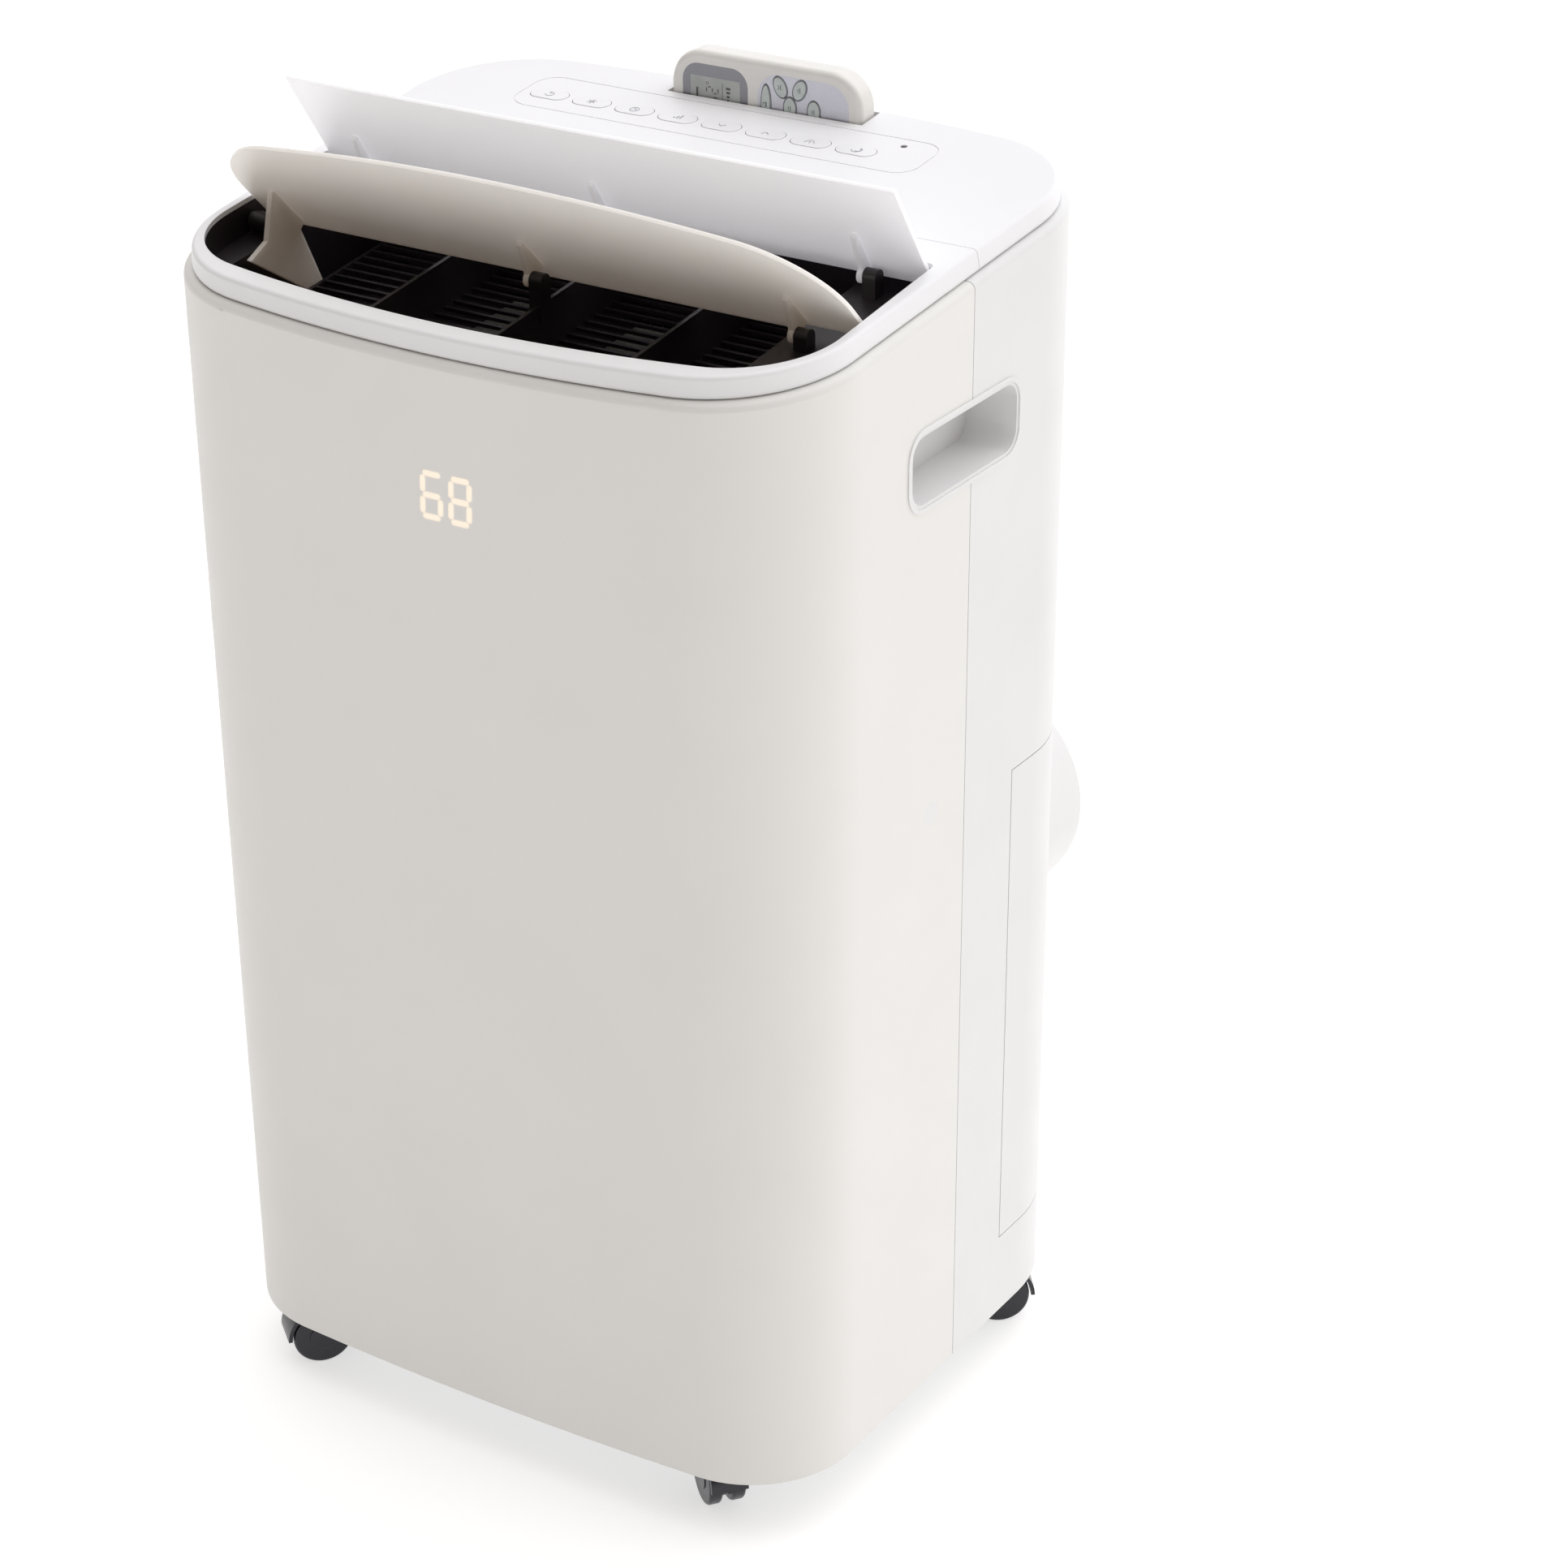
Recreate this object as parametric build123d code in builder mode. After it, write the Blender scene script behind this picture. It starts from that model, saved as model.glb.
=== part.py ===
"""Portable air conditioner on casters, with its two outlet flaps open and its remote control in the deck.

Millimetres, +Z up, -Y is the front with the display, +X is the side with the round plug.
The origin is on the floor, under the middle of the whole unit.
"""

from build123d import *
import os
from math import atan, cos, degrees, radians, sin

os.makedirs("parts", exist_ok=True)

# ---------------------------------------------------------------- driving dimensions
# plan of the casing: a bowed front and rear, straight sides that widen a little to the rear
FRONT_HALF = 209.0
REAR_HALF = 220.5
FRONT_Y = -174.5
REAR_Y = 158.0
FRONT_BULGE_TOP = 24.5
FRONT_BULGE_BOTTOM = 9.0
REAR_BULGE = 15.7
FRONT_RADIUS_TOP = 84.0
FRONT_RADIUS_BOTTOM = 70.0
REAR_RADIUS = 79.0
WALL = 2.8
FLOOR_GAP = 42.0
SHOULDER_Z = 737.4
TOP_SLOPE = 0.0964
LOFT_EXTRA = 32.6
LOFT_TOP_Z = SHOULDER_Z + LOFT_EXTRA
SHOULDER_RADIUS = 4.5
LEDGE = 9.0
SEAM_Y = 4.5
SEAM_GAP = 0.6

# top cover: a bezel round the outlet at the front and the control deck behind it
COVER_INSET = 6.0
COVER_FOOT_INSET = 4.5
COVER_RISE = 13.0
COVER_WALL = 2.8
COVER_EDGE_RADIUS = 3.0
COVER_SPLIT_V = 16.0
COVER_SPLIT_GAP = 0.4
OPENING_HALF = 199.0
OPENING_FRONT_V = -157.5
OPENING_REAR_V = -10.0
OPENING_RADIUS = 60.0
OPENING_CORNER = 4.0

# dark duct under the opening
DUCT_WALL = 2.5
DUCT_DEPTH = 73.0
DUCT_REAR_V = 14.0
SHELF_DROP = 20.0
SHELF_LEFT_X = -180.0
SHELF_RIGHT_X = 150.0
DIVIDER = 2.4
DIVIDER_X = (-83.0, 0.0, 83.0)
DIVIDER_DROP = 26.0
GUARD_DROP = 52.0
GUARD_BAR = 2.2
GUARD_PITCH = 9.0
GUARD_LEFT_X = -168.0

# the two flaps, drawn closed and turned up about their pivots
FLAP = 2.5
FLAP_GAP = 1.5
FRONT_PLATE_END_V = -73.75
REAR_PLATE_V = (-89.6, -13.0)
NOTCH_V = -82.0
NOTCH_X = (-178.4, 148.0)
FLAP_RIB = 3.2
FRONT_PIVOT_V = -91.7
FRONT_PIVOT_DROP = 13.2
FRONT_OPEN = 51.0
REAR_PIVOT_V = -20.2
REAR_PIVOT_DROP = 9.0
REAR_OPEN = 61.5
RIB_MIDDLE_X = -7.0
RIB_RIGHT_X = 160.0
FRONT_ARM_X = -176.0
REAR_ARM_X = -169.0
PIN_RADIUS = 2.6
PIN_CLEARANCE = 0.06
PIN_LENGTH = 5.0
BOSS_RADIUS = 4.6
SWING_MOTOR_RADIUS = 6.0
SWING_MOTOR_X = (-196.0, -182.0)
SWING_MOTOR_POST = 12.5
BEARING_POST = 22.0

# control panel on the deck
BUTTON_COUNT = 8
BUTTON_PITCH = 30.0
BUTTON_FIRST_X = -128.0
BUTTON_V = 107.0
BUTTON_LENGTH = 25.0
BUTTON_WIDTH = 13.0
BUTTON_GAP = 0.4
BUTTON_PROUD = 0.3
BUTTON_HEIGHT = 3.6
BUTTON_NAMES = ("power", "mode", "timer", "speed", "down", "up", "swing", "sleep")
PANEL_X = (-147.0, 127.0)
PANEL_V = (87.0, 133.0)
PANEL_RADIUS = 14.0
PANEL_GROOVE = 0.8
PANEL_GROOVE_DEPTH = 0.5
BOARD = 1.6
BOARD_DROP = 8.5
EYE_X = 104.0
EYE_V = 123.0
EYE_RADIUS = 2.0

# remote control, standing on its long side in a slot of the deck
REMOTE_LENGTH = 130.0
REMOTE_WIDTH = 50.0
REMOTE_THICKNESS = 18.0
REMOTE_Y = 150.0
REMOTE_RISE = 3.6
REMOTE_BOTTOM_Z = SHOULDER_Z + REMOTE_RISE
REMOTE_END_RADIUS = 21.0
REMOTE_EDGE_RADIUS = 4.0
REMOTE_GAP = 1.4
SLOT_WALL = 2.0
FACE_DEPTH = 1.2
BEZEL_FROM_TOP = 31.0
BEZEL_SIZE = (45.0, 35.0)
BEZEL_RADIUS = 11.0
LCD_SIZE = (34.0, 20.0)
LCD_DEPTH = 0.6
PANEL_FROM_TOP = 91.0
PANEL_SIZE = (62.0, 37.0)
PANEL_END_RADIUS = 15.0
KEY_GAP = 0.3
KEY_DEPTH = 3.0
KEY_PROUD = 0.8
# name, distance from the remote's top end, distance from its middle, length, width, turn
KEYS = (
    ("power", 66.0, 0.0, 5.6, 22.0, 0.0),
    ("up", 75.8, -11.4, 7.4, 12.0, -25.0),
    ("down", 75.8, 11.4, 7.4, 12.0, 25.0),
    ("mode", 82.3, 0.0, 7.6, 12.0, 0.0),
    ("fan", 88.9, -11.4, 7.4, 12.0, 25.0),
    ("timer", 88.9, 11.4, 7.4, 12.0, -25.0),
    ("units", 98.4, 0.0, 7.6, 12.0, 0.0),
)

# sides and back
HANDLE_Y = -2.0
HANDLE_Z = 647.5
HANDLE_LENGTH = 114.0
HANDLE_HEIGHT = 44.0
HANDLE_RADIUS = 14.0
HANDLE_DEPTH = 26.0
HANDLE_WALL = 2.2
PLUG_Y = -32.0
PLUG_Z = 435.0
PLUG_RADIUS = 7.5
PANEL_SIDE_Y = 59.0
LOWER_PANEL_Z = (98.0, 423.0)
PANEL_GAP = 0.8
GRILLE_X = 150.0
UPPER_GRILLE_Z = (468.0, 700.0)
LOWER_GRILLE_X = (-168.0, 18.0)
LOWER_GRILLE_Z = (116.0, 404.0)
LOUVRE_PITCH = 9.0
LOUVRE_SLOT = 5.0
GRILLE_BORDER = 12.0
GRILLE_MULLIONS = 3
MULLION = 5.0
COLLAR_X = 118.0
COLLAR_Z = 330.0
COLLAR_RADIUS = 75.0
COLLAR_BORE = 71.0
COLLAR_END_Y = 198.6
COLLAR_START_Y = 140.0
COLLAR_HOLE_GAP = 0.8
DRAIN_X = 150.0
UPPER_DRAIN_Z = 448.0
LOWER_DRAIN_Z = 70.0
DRAIN_RADIUS = 9.0
DRAIN_BORE = 6.0
GLAND_X = -150.0
GLAND_Z = 72.0
GLAND_RADIUS = 10.0
GLAND_BORE = 4.0
SCREW_RADIUS = 4.0
SCREW_SINK = 0.8
SCREW_LENGTH = 12.0
SCREW_SPOTS = ((-110.0, 446.0), (0.0, 446.0), (100.0, 446.0), (-90.0, 70.0), (0.0, 70.0), (90.0, 70.0))

# base and casters
PAN_Z = 46.0
PAN_FLOOR = 3.0
PAN_HEIGHT = 22.0
PAN_GAP = 0.5
WHEEL_RADIUS = 19.0
WHEEL_WIDTH = 8.5
WHEEL_GAP = 6.0
AXLE_RADIUS = 2.5
RUNNING_CLEARANCE = 0.06
TRAIL = 12.0
HOOD_TOP_Z = 41.5
STEM_RADIUS = 4.0
STEM_TOP_Z = 58.0
BOSS_TOP_Z = 60.0
# name, swivel axis x and y, how far the caster has turned
CASTERS = (
    ("front_left", -150.0, -140.0, 140.0),
    ("front_right", 128.0, -134.5, 230.0),
    ("rear_left", -180.0, 104.0, 20.0),
    ("rear_right", 180.0, 104.0, -53.0),
)

# working parts inside
TRAY_Z = 428.0
TRAY = 2.5
TRAY_RIM = 10.0
TRAY_GAP = 4.0
FAN_RADIUS = 88.0
FAN_BLADE_DEPTH = 16.0
FAN_PLAY = 8.0
BLADE_COUNT = 24
BLADE = 2.0
BACK_PLATE = 2.5
HUB_RADIUS = 14.0
SCROLL_RADIUS = 104.0
SCROLL_WALL = 2.2
INTAKE_RADIUS = 74.0
UPPER_FAN = (-20.0, 546.0)
UPPER_SCROLL_Y = (-84.0, 0.0)
UPPER_DUCT_X = (-124.0, 70.0)
LOWER_FAN = (-84.0, 236.0)
LOWER_SCROLL_Y = (8.0, 92.0)
LOWER_DUCT_X = (-84.0, 176.0)
LOWER_DUCT_Z = (250.0, 340.0)
COLLAR_BOX_X = (36.0, 178.0)
COLLAR_BOX_Z = (248.0, 408.0)
MOTOR_RADIUS = 42.0
MOTOR_LENGTH = 46.0
SHAFT_RADIUS = 4.0
SHAFT_CLEARANCE = 0.05
COMPRESSOR = (120.0, -88.0)
COMPRESSOR_RADIUS = 60.0
COMPRESSOR_Z = (72.0, 300.0)
MOUNT_RADIUS = 9.0
ACCUMULATOR = (32.0, -112.0)
ACCUMULATOR_RADIUS = 22.0
ACCUMULATOR_Z = (120.0, 262.0)
EVAPORATOR_X = (-160.0, 155.0)
EVAPORATOR_Z = (452.0, 690.0)
CONDENSER_X = (-168.0, 28.0)
CONDENSER_Z = (82.0, 396.0)
COIL_Y = (104.0, 140.0)
COIL_PITCH = 21.0
COIL_TUBE = 4.0
COIL_BEND = 7.0
PIPE_RADIUS = 4.0
PIPE_BEND = 18.0
LIQUID_X = 10.0
SUCTION_RISER = (188.0, -12.0)
DISPLAY_X = 8.0
DISPLAY_Z = 641.0
DISPLAY_BOARD_Y = -190.6
DISPLAY_BOARD = (84.0, 50.0)
DISPLAY_DIGITS = (44.0, 30.0)
DISPLAY_DIGITS_DEPTH = 1.6
CONTROL_X = (-140.0, -20.0)
CONTROL_Y = (-158.0, -128.0)
CONTROL_Z = (270.0, 400.0)
CONTROL_WALL = 1.5

# ---------------------------------------------------------------- planes worked out from them
SLOPE_ANGLE = degrees(atan(TOP_SLOPE))
SLOPE_COS = cos(radians(SLOPE_ANGLE))
SLOPE_SIN = sin(radians(SLOPE_ANGLE))
RIM_Z = SHOULDER_Z + COVER_RISE / SLOPE_COS
SHOULDER_PLANE = Plane((0, 0, SHOULDER_Z), x_dir=(1, 0, 0), z_dir=(0, -TOP_SLOPE, 1))
RIM_PLANE = Plane((0, 0, RIM_Z), x_dir=(1, 0, 0), z_dir=(0, -TOP_SLOPE, 1))


def drop_point(v, drop):
    """Y and Z of a point at v along the sloping top and drop below its surface."""
    return (v * SLOPE_COS + drop * SLOPE_SIN, RIM_Z + v * SLOPE_SIN - drop * SLOPE_COS)


def flap_plane(pivot_v, pivot_drop, opening):
    """The plane of the rim seen from a pivot and turned up by the opening angle."""
    y, z = drop_point(pivot_v, pivot_drop)
    closed = Plane((0, y, z), x_dir=(1, 0, 0), z_dir=(0, -TOP_SLOPE, 1))
    return closed.rotated((-opening, 0, 0))


FRONT_PIVOT = drop_point(FRONT_PIVOT_V, FRONT_PIVOT_DROP)
REAR_PIVOT = drop_point(REAR_PIVOT_V, REAR_PIVOT_DROP)


def outline(halves, ends, bulges, radii, inset=0.0):
    """A rounded plan: halves, ends, bulges and radii are each (front, rear)."""
    with BuildSketch(mode=Mode.PRIVATE) as plan:
        with BuildLine():
            front = ThreePointArc(
                (-halves[0], ends[0]), (0, ends[0] - bulges[0]), (halves[0], ends[0])
            )
            side = Line(front @ 1, (halves[1], ends[1]))
            if bulges[1]:
                rear = ThreePointArc(side @ 1, (0, ends[1] + bulges[1]), (-halves[1], ends[1]))
            else:
                rear = Line(side @ 1, (-halves[1], ends[1]))
            Line(rear @ 1, front @ 0)
        make_face()
        fillet(plan.vertices().group_by(Axis.Y)[0], radii[0])
        fillet(plan.vertices().sort_by(Axis.Y)[-2:], radii[1])
        if inset:
            offset(amount=-inset)
    return plan.sketch


def casing_outline(share, inset=0.0):
    """The casing's plan; share goes from 0 at the bottom edge to 1 at the top."""
    bulge = FRONT_BULGE_BOTTOM + share * (FRONT_BULGE_TOP - FRONT_BULGE_BOTTOM)
    radius = FRONT_RADIUS_BOTTOM + share * (FRONT_RADIUS_TOP - FRONT_RADIUS_BOTTOM)
    return outline(
        (FRONT_HALF, REAR_HALF), (FRONT_Y, REAR_Y), (bulge, REAR_BULGE), (radius, REAR_RADIUS), inset
    )


def opening_outline(inset=0.0):
    """The outlet's D: a bowed front with round corners and a straight rear edge."""
    return outline(
        (OPENING_HALF, OPENING_HALF),
        (OPENING_FRONT_V, OPENING_REAR_V),
        (FRONT_BULGE_TOP, 0),
        (OPENING_RADIUS, OPENING_CORNER),
        inset,
    )


def save(piece, name):
    """Label a finished sub-part and write it to its own file."""
    piece.part.label = name
    export_step(piece.part, f"parts/{name}.step")


REACH = 1000.0

# ---------------------------------------------------------------- casing blanks
with BuildPart() as casing_block:
    with BuildSketch(Plane.XY.offset(FLOOR_GAP)):
        add(casing_outline(0))
    with BuildSketch(Plane.XY.offset(LOFT_TOP_Z)):
        add(casing_outline(1))
    loft()
    split(bisect_by=SHOULDER_PLANE, keep=Keep.BOTTOM)
    shoulder_face = casing_block.faces().sort_by(Axis.Z)[-1]
    fillet(shoulder_face.edges(), SHOULDER_RADIUS)

with BuildPart() as casing_hollow:
    with BuildSketch(Plane.XY.offset(FLOOR_GAP)):
        add(casing_outline(0, WALL))
    with BuildSketch(Plane.XY.offset(LOFT_TOP_Z)):
        add(casing_outline(1, WALL))
    loft()
    split(bisect_by=SHOULDER_PLANE.offset(-WALL), keep=Keep.BOTTOM)
    with BuildSketch(SHOULDER_PLANE.offset(-2 * WALL)):
        add(casing_outline(1, LEDGE))
    extrude(amount=4 * WALL)

with BuildPart() as casing_shell:
    add(casing_block.part)
    add(casing_hollow.part, mode=Mode.SUBTRACT)

# ---------------------------------------------------------------- casings
def cut_for_handles_and_caps():
    """Holes in both sides for the handle cups and the round caps."""
    with BuildSketch(Plane.YZ) as side:
        with Locations((HANDLE_Y, HANDLE_Z)):
            RectangleRounded(HANDLE_LENGTH, HANDLE_HEIGHT, HANDLE_RADIUS)
        with Locations((PLUG_Y, PLUG_Z)):
            Circle(PLUG_RADIUS)
    extrude(side.sketch, amount=REACH, both=True, mode=Mode.SUBTRACT)


def casing_half(front):
    """A block that keeps only the casing in front of the seam, or only what is behind it."""
    low = -REACH if front else SEAM_Y + SEAM_GAP / 2
    high = SEAM_Y - SEAM_GAP / 2 if front else REACH
    with Locations((0, (low + high) / 2, 0)):
        Box(2 * REACH, high - low, 3 * REACH, mode=Mode.INTERSECT)


with BuildPart() as front_casing:
    add(casing_shell.part)
    casing_half(front=True)
    cut_for_handles_and_caps()
save(front_casing, "front_casing")

LOWER_PANEL_MIDDLE = sum(LOWER_PANEL_Z) / 2
LOWER_PANEL_HEIGHT = LOWER_PANEL_Z[1] - LOWER_PANEL_Z[0]
UPPER_GRILLE_MIDDLE = sum(UPPER_GRILLE_Z) / 2
UPPER_GRILLE_HEIGHT = UPPER_GRILLE_Z[1] - UPPER_GRILLE_Z[0]

with BuildPart() as rear_casing:
    add(casing_shell.part)
    casing_half(front=False)
    cut_for_handles_and_caps()
    with Locations((0, PANEL_SIDE_Y - PANEL_GAP + REACH / 2, LOWER_PANEL_MIDDLE)):
        Box(REACH, REACH, LOWER_PANEL_HEIGHT + 2 * PANEL_GAP, mode=Mode.SUBTRACT)
    with Locations((0, REAR_Y, UPPER_GRILLE_MIDDLE)):
        Box(
            2 * (GRILLE_X + PANEL_GAP),
            REAR_RADIUS,
            UPPER_GRILLE_HEIGHT + 2 * PANEL_GAP,
            mode=Mode.SUBTRACT,
        )
    with BuildSketch(Plane.XZ.offset(-REAR_Y + REAR_RADIUS)) as ports:
        with Locations((DRAIN_X, UPPER_DRAIN_Z), (DRAIN_X, LOWER_DRAIN_Z)):
            Circle(DRAIN_RADIUS)
        with Locations((GLAND_X, GLAND_Z)):
            Circle(GLAND_RADIUS)
        with Locations(*SCREW_SPOTS):
            Circle(SCREW_RADIUS)
    extrude(ports.sketch, amount=-2 * REAR_RADIUS, mode=Mode.SUBTRACT)
save(rear_casing, "rear_casing")


def louvre_slots(x_range, z_range):
    """Long level slots with upright mullions left between them, cut through a rear wall."""
    width = x_range[1] - x_range[0] - 2 * GRILLE_BORDER
    height = z_range[1] - z_range[0] - 2 * GRILLE_BORDER
    rows = int(height // LOUVRE_PITCH)
    bay = (width - GRILLE_MULLIONS * MULLION) / (GRILLE_MULLIONS + 1)
    with BuildSketch(Plane.XZ.offset(-REAR_Y + REAR_RADIUS)) as slots:
        with Locations((sum(x_range) / 2, sum(z_range) / 2)):
            with GridLocations(bay + MULLION, LOUVRE_PITCH, GRILLE_MULLIONS + 1, rows):
                Rectangle(bay, LOUVRE_SLOT)
    extrude(slots.sketch, amount=-2 * REAR_RADIUS, mode=Mode.SUBTRACT)


with BuildPart() as lower_panel:
    add(casing_shell.part)
    with Locations((0, PANEL_SIDE_Y + REACH / 2, LOWER_PANEL_MIDDLE)):
        Box(REACH, REACH, LOWER_PANEL_HEIGHT, mode=Mode.INTERSECT)
    with BuildSketch(Plane.XZ.offset(-REAR_Y + REAR_RADIUS)) as collar_hole:
        with Locations((COLLAR_X, COLLAR_Z)):
            Circle(COLLAR_RADIUS + COLLAR_HOLE_GAP)
    extrude(collar_hole.sketch, amount=-2 * REAR_RADIUS, mode=Mode.SUBTRACT)
    louvre_slots(LOWER_GRILLE_X, LOWER_GRILLE_Z)
save(lower_panel, "lower_panel")

with BuildPart() as upper_filter_door:
    add(casing_shell.part)
    with Locations((0, REAR_Y, UPPER_GRILLE_MIDDLE)):
        Box(2 * GRILLE_X, REAR_RADIUS, UPPER_GRILLE_HEIGHT, mode=Mode.INTERSECT)
    louvre_slots((-GRILLE_X, GRILLE_X), UPPER_GRILLE_Z)
save(upper_filter_door, "upper_filter_door")

# ---------------------------------------------------------------- top cover
with BuildPart() as cover_block:
    with BuildSketch(SHOULDER_PLANE):
        add(casing_outline(1, COVER_FOOT_INSET))
    with BuildSketch(SHOULDER_PLANE.offset(COVER_RISE)):
        add(casing_outline(1, COVER_INSET))
    loft()
    fillet(cover_block.faces().sort_by(Axis.Z)[-1].edges(), COVER_EDGE_RADIUS)
    with BuildSketch(SHOULDER_PLANE):
        add(casing_outline(1, COVER_INSET + COVER_WALL))
    extrude(amount=COVER_RISE - COVER_WALL, mode=Mode.SUBTRACT)
    with BuildSketch(RIM_PLANE):
        add(opening_outline())
    extrude(amount=-COVER_RISE, mode=Mode.SUBTRACT)


def cover_half(front):
    """Keep the bezel in front of the cover's split, or the deck behind it."""
    low = -REACH if front else COVER_SPLIT_V + COVER_SPLIT_GAP / 2
    high = COVER_SPLIT_V - COVER_SPLIT_GAP / 2 if front else REACH
    with BuildSketch(RIM_PLANE.offset(-REACH / 2)) as kept:
        with Locations((0, (low + high) / 2)):
            Rectangle(2 * REACH, high - low)
    extrude(kept.sketch, amount=REACH, mode=Mode.INTERSECT)


with BuildPart() as top_bezel:
    add(cover_block.part)
    cover_half(front=True)
save(top_bezel, "top_bezel")

BUTTON_X = [BUTTON_FIRST_X + BUTTON_PITCH * i for i in range(BUTTON_COUNT)]
SLOT_SIZE = (REMOTE_LENGTH + 2 * REMOTE_GAP, REMOTE_THICKNESS + 2 * REMOTE_GAP)
SLOT_FLOOR_Z = REMOTE_BOTTOM_Z - REMOTE_GAP

with BuildPart() as slot_block:
    with Locations((0, REMOTE_Y, SLOT_FLOOR_Z - SLOT_WALL)):
        Box(
            SLOT_SIZE[0] + 2 * SLOT_WALL,
            SLOT_SIZE[1] + 2 * SLOT_WALL,
            REMOTE_WIDTH,
            align=(Align.CENTER, Align.CENTER, Align.MIN),
        )
    split(bisect_by=RIM_PLANE.offset(-COVER_WALL / 2), keep=Keep.BOTTOM)

with BuildPart() as top_deck:
    add(cover_block.part)
    cover_half(front=False)
    add(slot_block.part)
    with Locations((0, REMOTE_Y, SLOT_FLOOR_Z)):
        Box(SLOT_SIZE[0], SLOT_SIZE[1], REACH, align=(Align.CENTER, Align.CENTER, Align.MIN),
            mode=Mode.SUBTRACT)
    with BuildSketch(RIM_PLANE) as button_holes:
        with Locations(*[(x, BUTTON_V) for x in BUTTON_X]):
            SlotOverall(BUTTON_LENGTH + 2 * BUTTON_GAP, BUTTON_WIDTH + 2 * BUTTON_GAP)
        with Locations((EYE_X, EYE_V)):
            Circle(EYE_RADIUS)
    extrude(amount=-2 * COVER_WALL, mode=Mode.SUBTRACT)
    with BuildSketch(RIM_PLANE) as panel_groove:
        with Locations((sum(PANEL_X) / 2, sum(PANEL_V) / 2)):
            RectangleRounded(PANEL_X[1] - PANEL_X[0], PANEL_V[1] - PANEL_V[0], PANEL_RADIUS)
            RectangleRounded(
                PANEL_X[1] - PANEL_X[0] - 2 * PANEL_GROOVE,
                PANEL_V[1] - PANEL_V[0] - 2 * PANEL_GROOVE,
                PANEL_RADIUS - PANEL_GROOVE,
                mode=Mode.SUBTRACT,
            )
    extrude(amount=-PANEL_GROOVE_DEPTH, mode=Mode.SUBTRACT)
save(top_deck, "top_deck")

for button_name, button_x in zip(BUTTON_NAMES, BUTTON_X):
    with BuildPart() as button:
        with BuildSketch(RIM_PLANE.offset(BUTTON_PROUD)):
            with Locations((button_x, BUTTON_V)):
                SlotOverall(BUTTON_LENGTH, BUTTON_WIDTH)
        extrude(amount=-BUTTON_HEIGHT)
        fillet(button.faces().sort_by(Axis.Z)[-1].edges(), BUTTON_PROUD)
    save(button, f"button_{button_name}")

with BuildPart() as button_board:
    with BuildSketch(RIM_PLANE.offset(-BOARD_DROP)):
        with Locations((sum(PANEL_X) / 2, BUTTON_V)):
            Rectangle(PANEL_X[1] - PANEL_X[0], PANEL_V[1] - PANEL_V[0])
    extrude(amount=BOARD)
    with BuildSketch(RIM_PLANE.offset(-BOARD_DROP)):
        with Locations((EYE_X, EYE_V)):
            Circle(EYE_RADIUS - BUTTON_GAP / 2)
    extrude(amount=BOARD_DROP - PANEL_GROOVE_DEPTH)
save(button_board, "button_board")

# ---------------------------------------------------------------- dark outlet duct
def duct_plan(margin=0.0, x_range=(-REACH, REACH)):
    """The duct's inside in plan, between two values of X: the D and a strip under the deck."""
    with BuildSketch(mode=Mode.PRIVATE) as plan:
        add(opening_outline(-margin) if margin else opening_outline())
        with Locations((0, OPENING_REAR_V - OPENING_CORNER)):
            Rectangle(
                2 * (OPENING_HALF + margin),
                DUCT_REAR_V + margin - OPENING_REAR_V + OPENING_CORNER,
                align=(Align.CENTER, Align.MIN),
            )
        with Locations((sum(x_range) / 2, 0)):
            Rectangle(x_range[1] - x_range[0], REACH, mode=Mode.INTERSECT)
    return plan.sketch


DUCT_BOTTOM_DROP = COVER_WALL + DUCT_DEPTH
SHELVES = (
    (-REACH, SHELF_LEFT_X, SHELF_LEFT_X - DUCT_WALL, SHELF_LEFT_X),
    (SHELF_RIGHT_X, REACH, SHELF_RIGHT_X, SHELF_RIGHT_X + DUCT_WALL),
)
THROAT_X = (SHELF_LEFT_X, SHELF_RIGHT_X)
GUARD_ROWS = int((OPENING_REAR_V - OPENING_FRONT_V) // GUARD_PITCH)


def bearing(pivot, x, length):
    """A round boss on a pivot axis, from x towards +X, with a post down to the shelf or divider."""
    y, z = pivot
    with BuildSketch(Plane.YZ.offset(x)) as knob:
        with Locations((y, z)):
            Circle(BOSS_RADIUS)
        with Locations((y, z)):
            Rectangle(2 * BOSS_RADIUS, BEARING_POST, align=(Align.CENTER, Align.MAX))
    extrude(knob.sketch, amount=length)


def bearing_bore(pivot, x, length):
    """The blind hole that a flap's pin turns in."""
    with BuildSketch(Plane.YZ.offset(x)) as bore:
        with Locations(pivot):
            Circle(PIN_RADIUS + PIN_CLEARANCE)
    extrude(bore.sketch, amount=length, mode=Mode.SUBTRACT)


BEARING_LENGTH = PIN_LENGTH + 3.0
SIDE_PLAY = 0.5
BEARING_X = [x + FLAP_RIB / 2 + SIDE_PLAY for x in (RIB_MIDDLE_X, RIB_RIGHT_X)]

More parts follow.
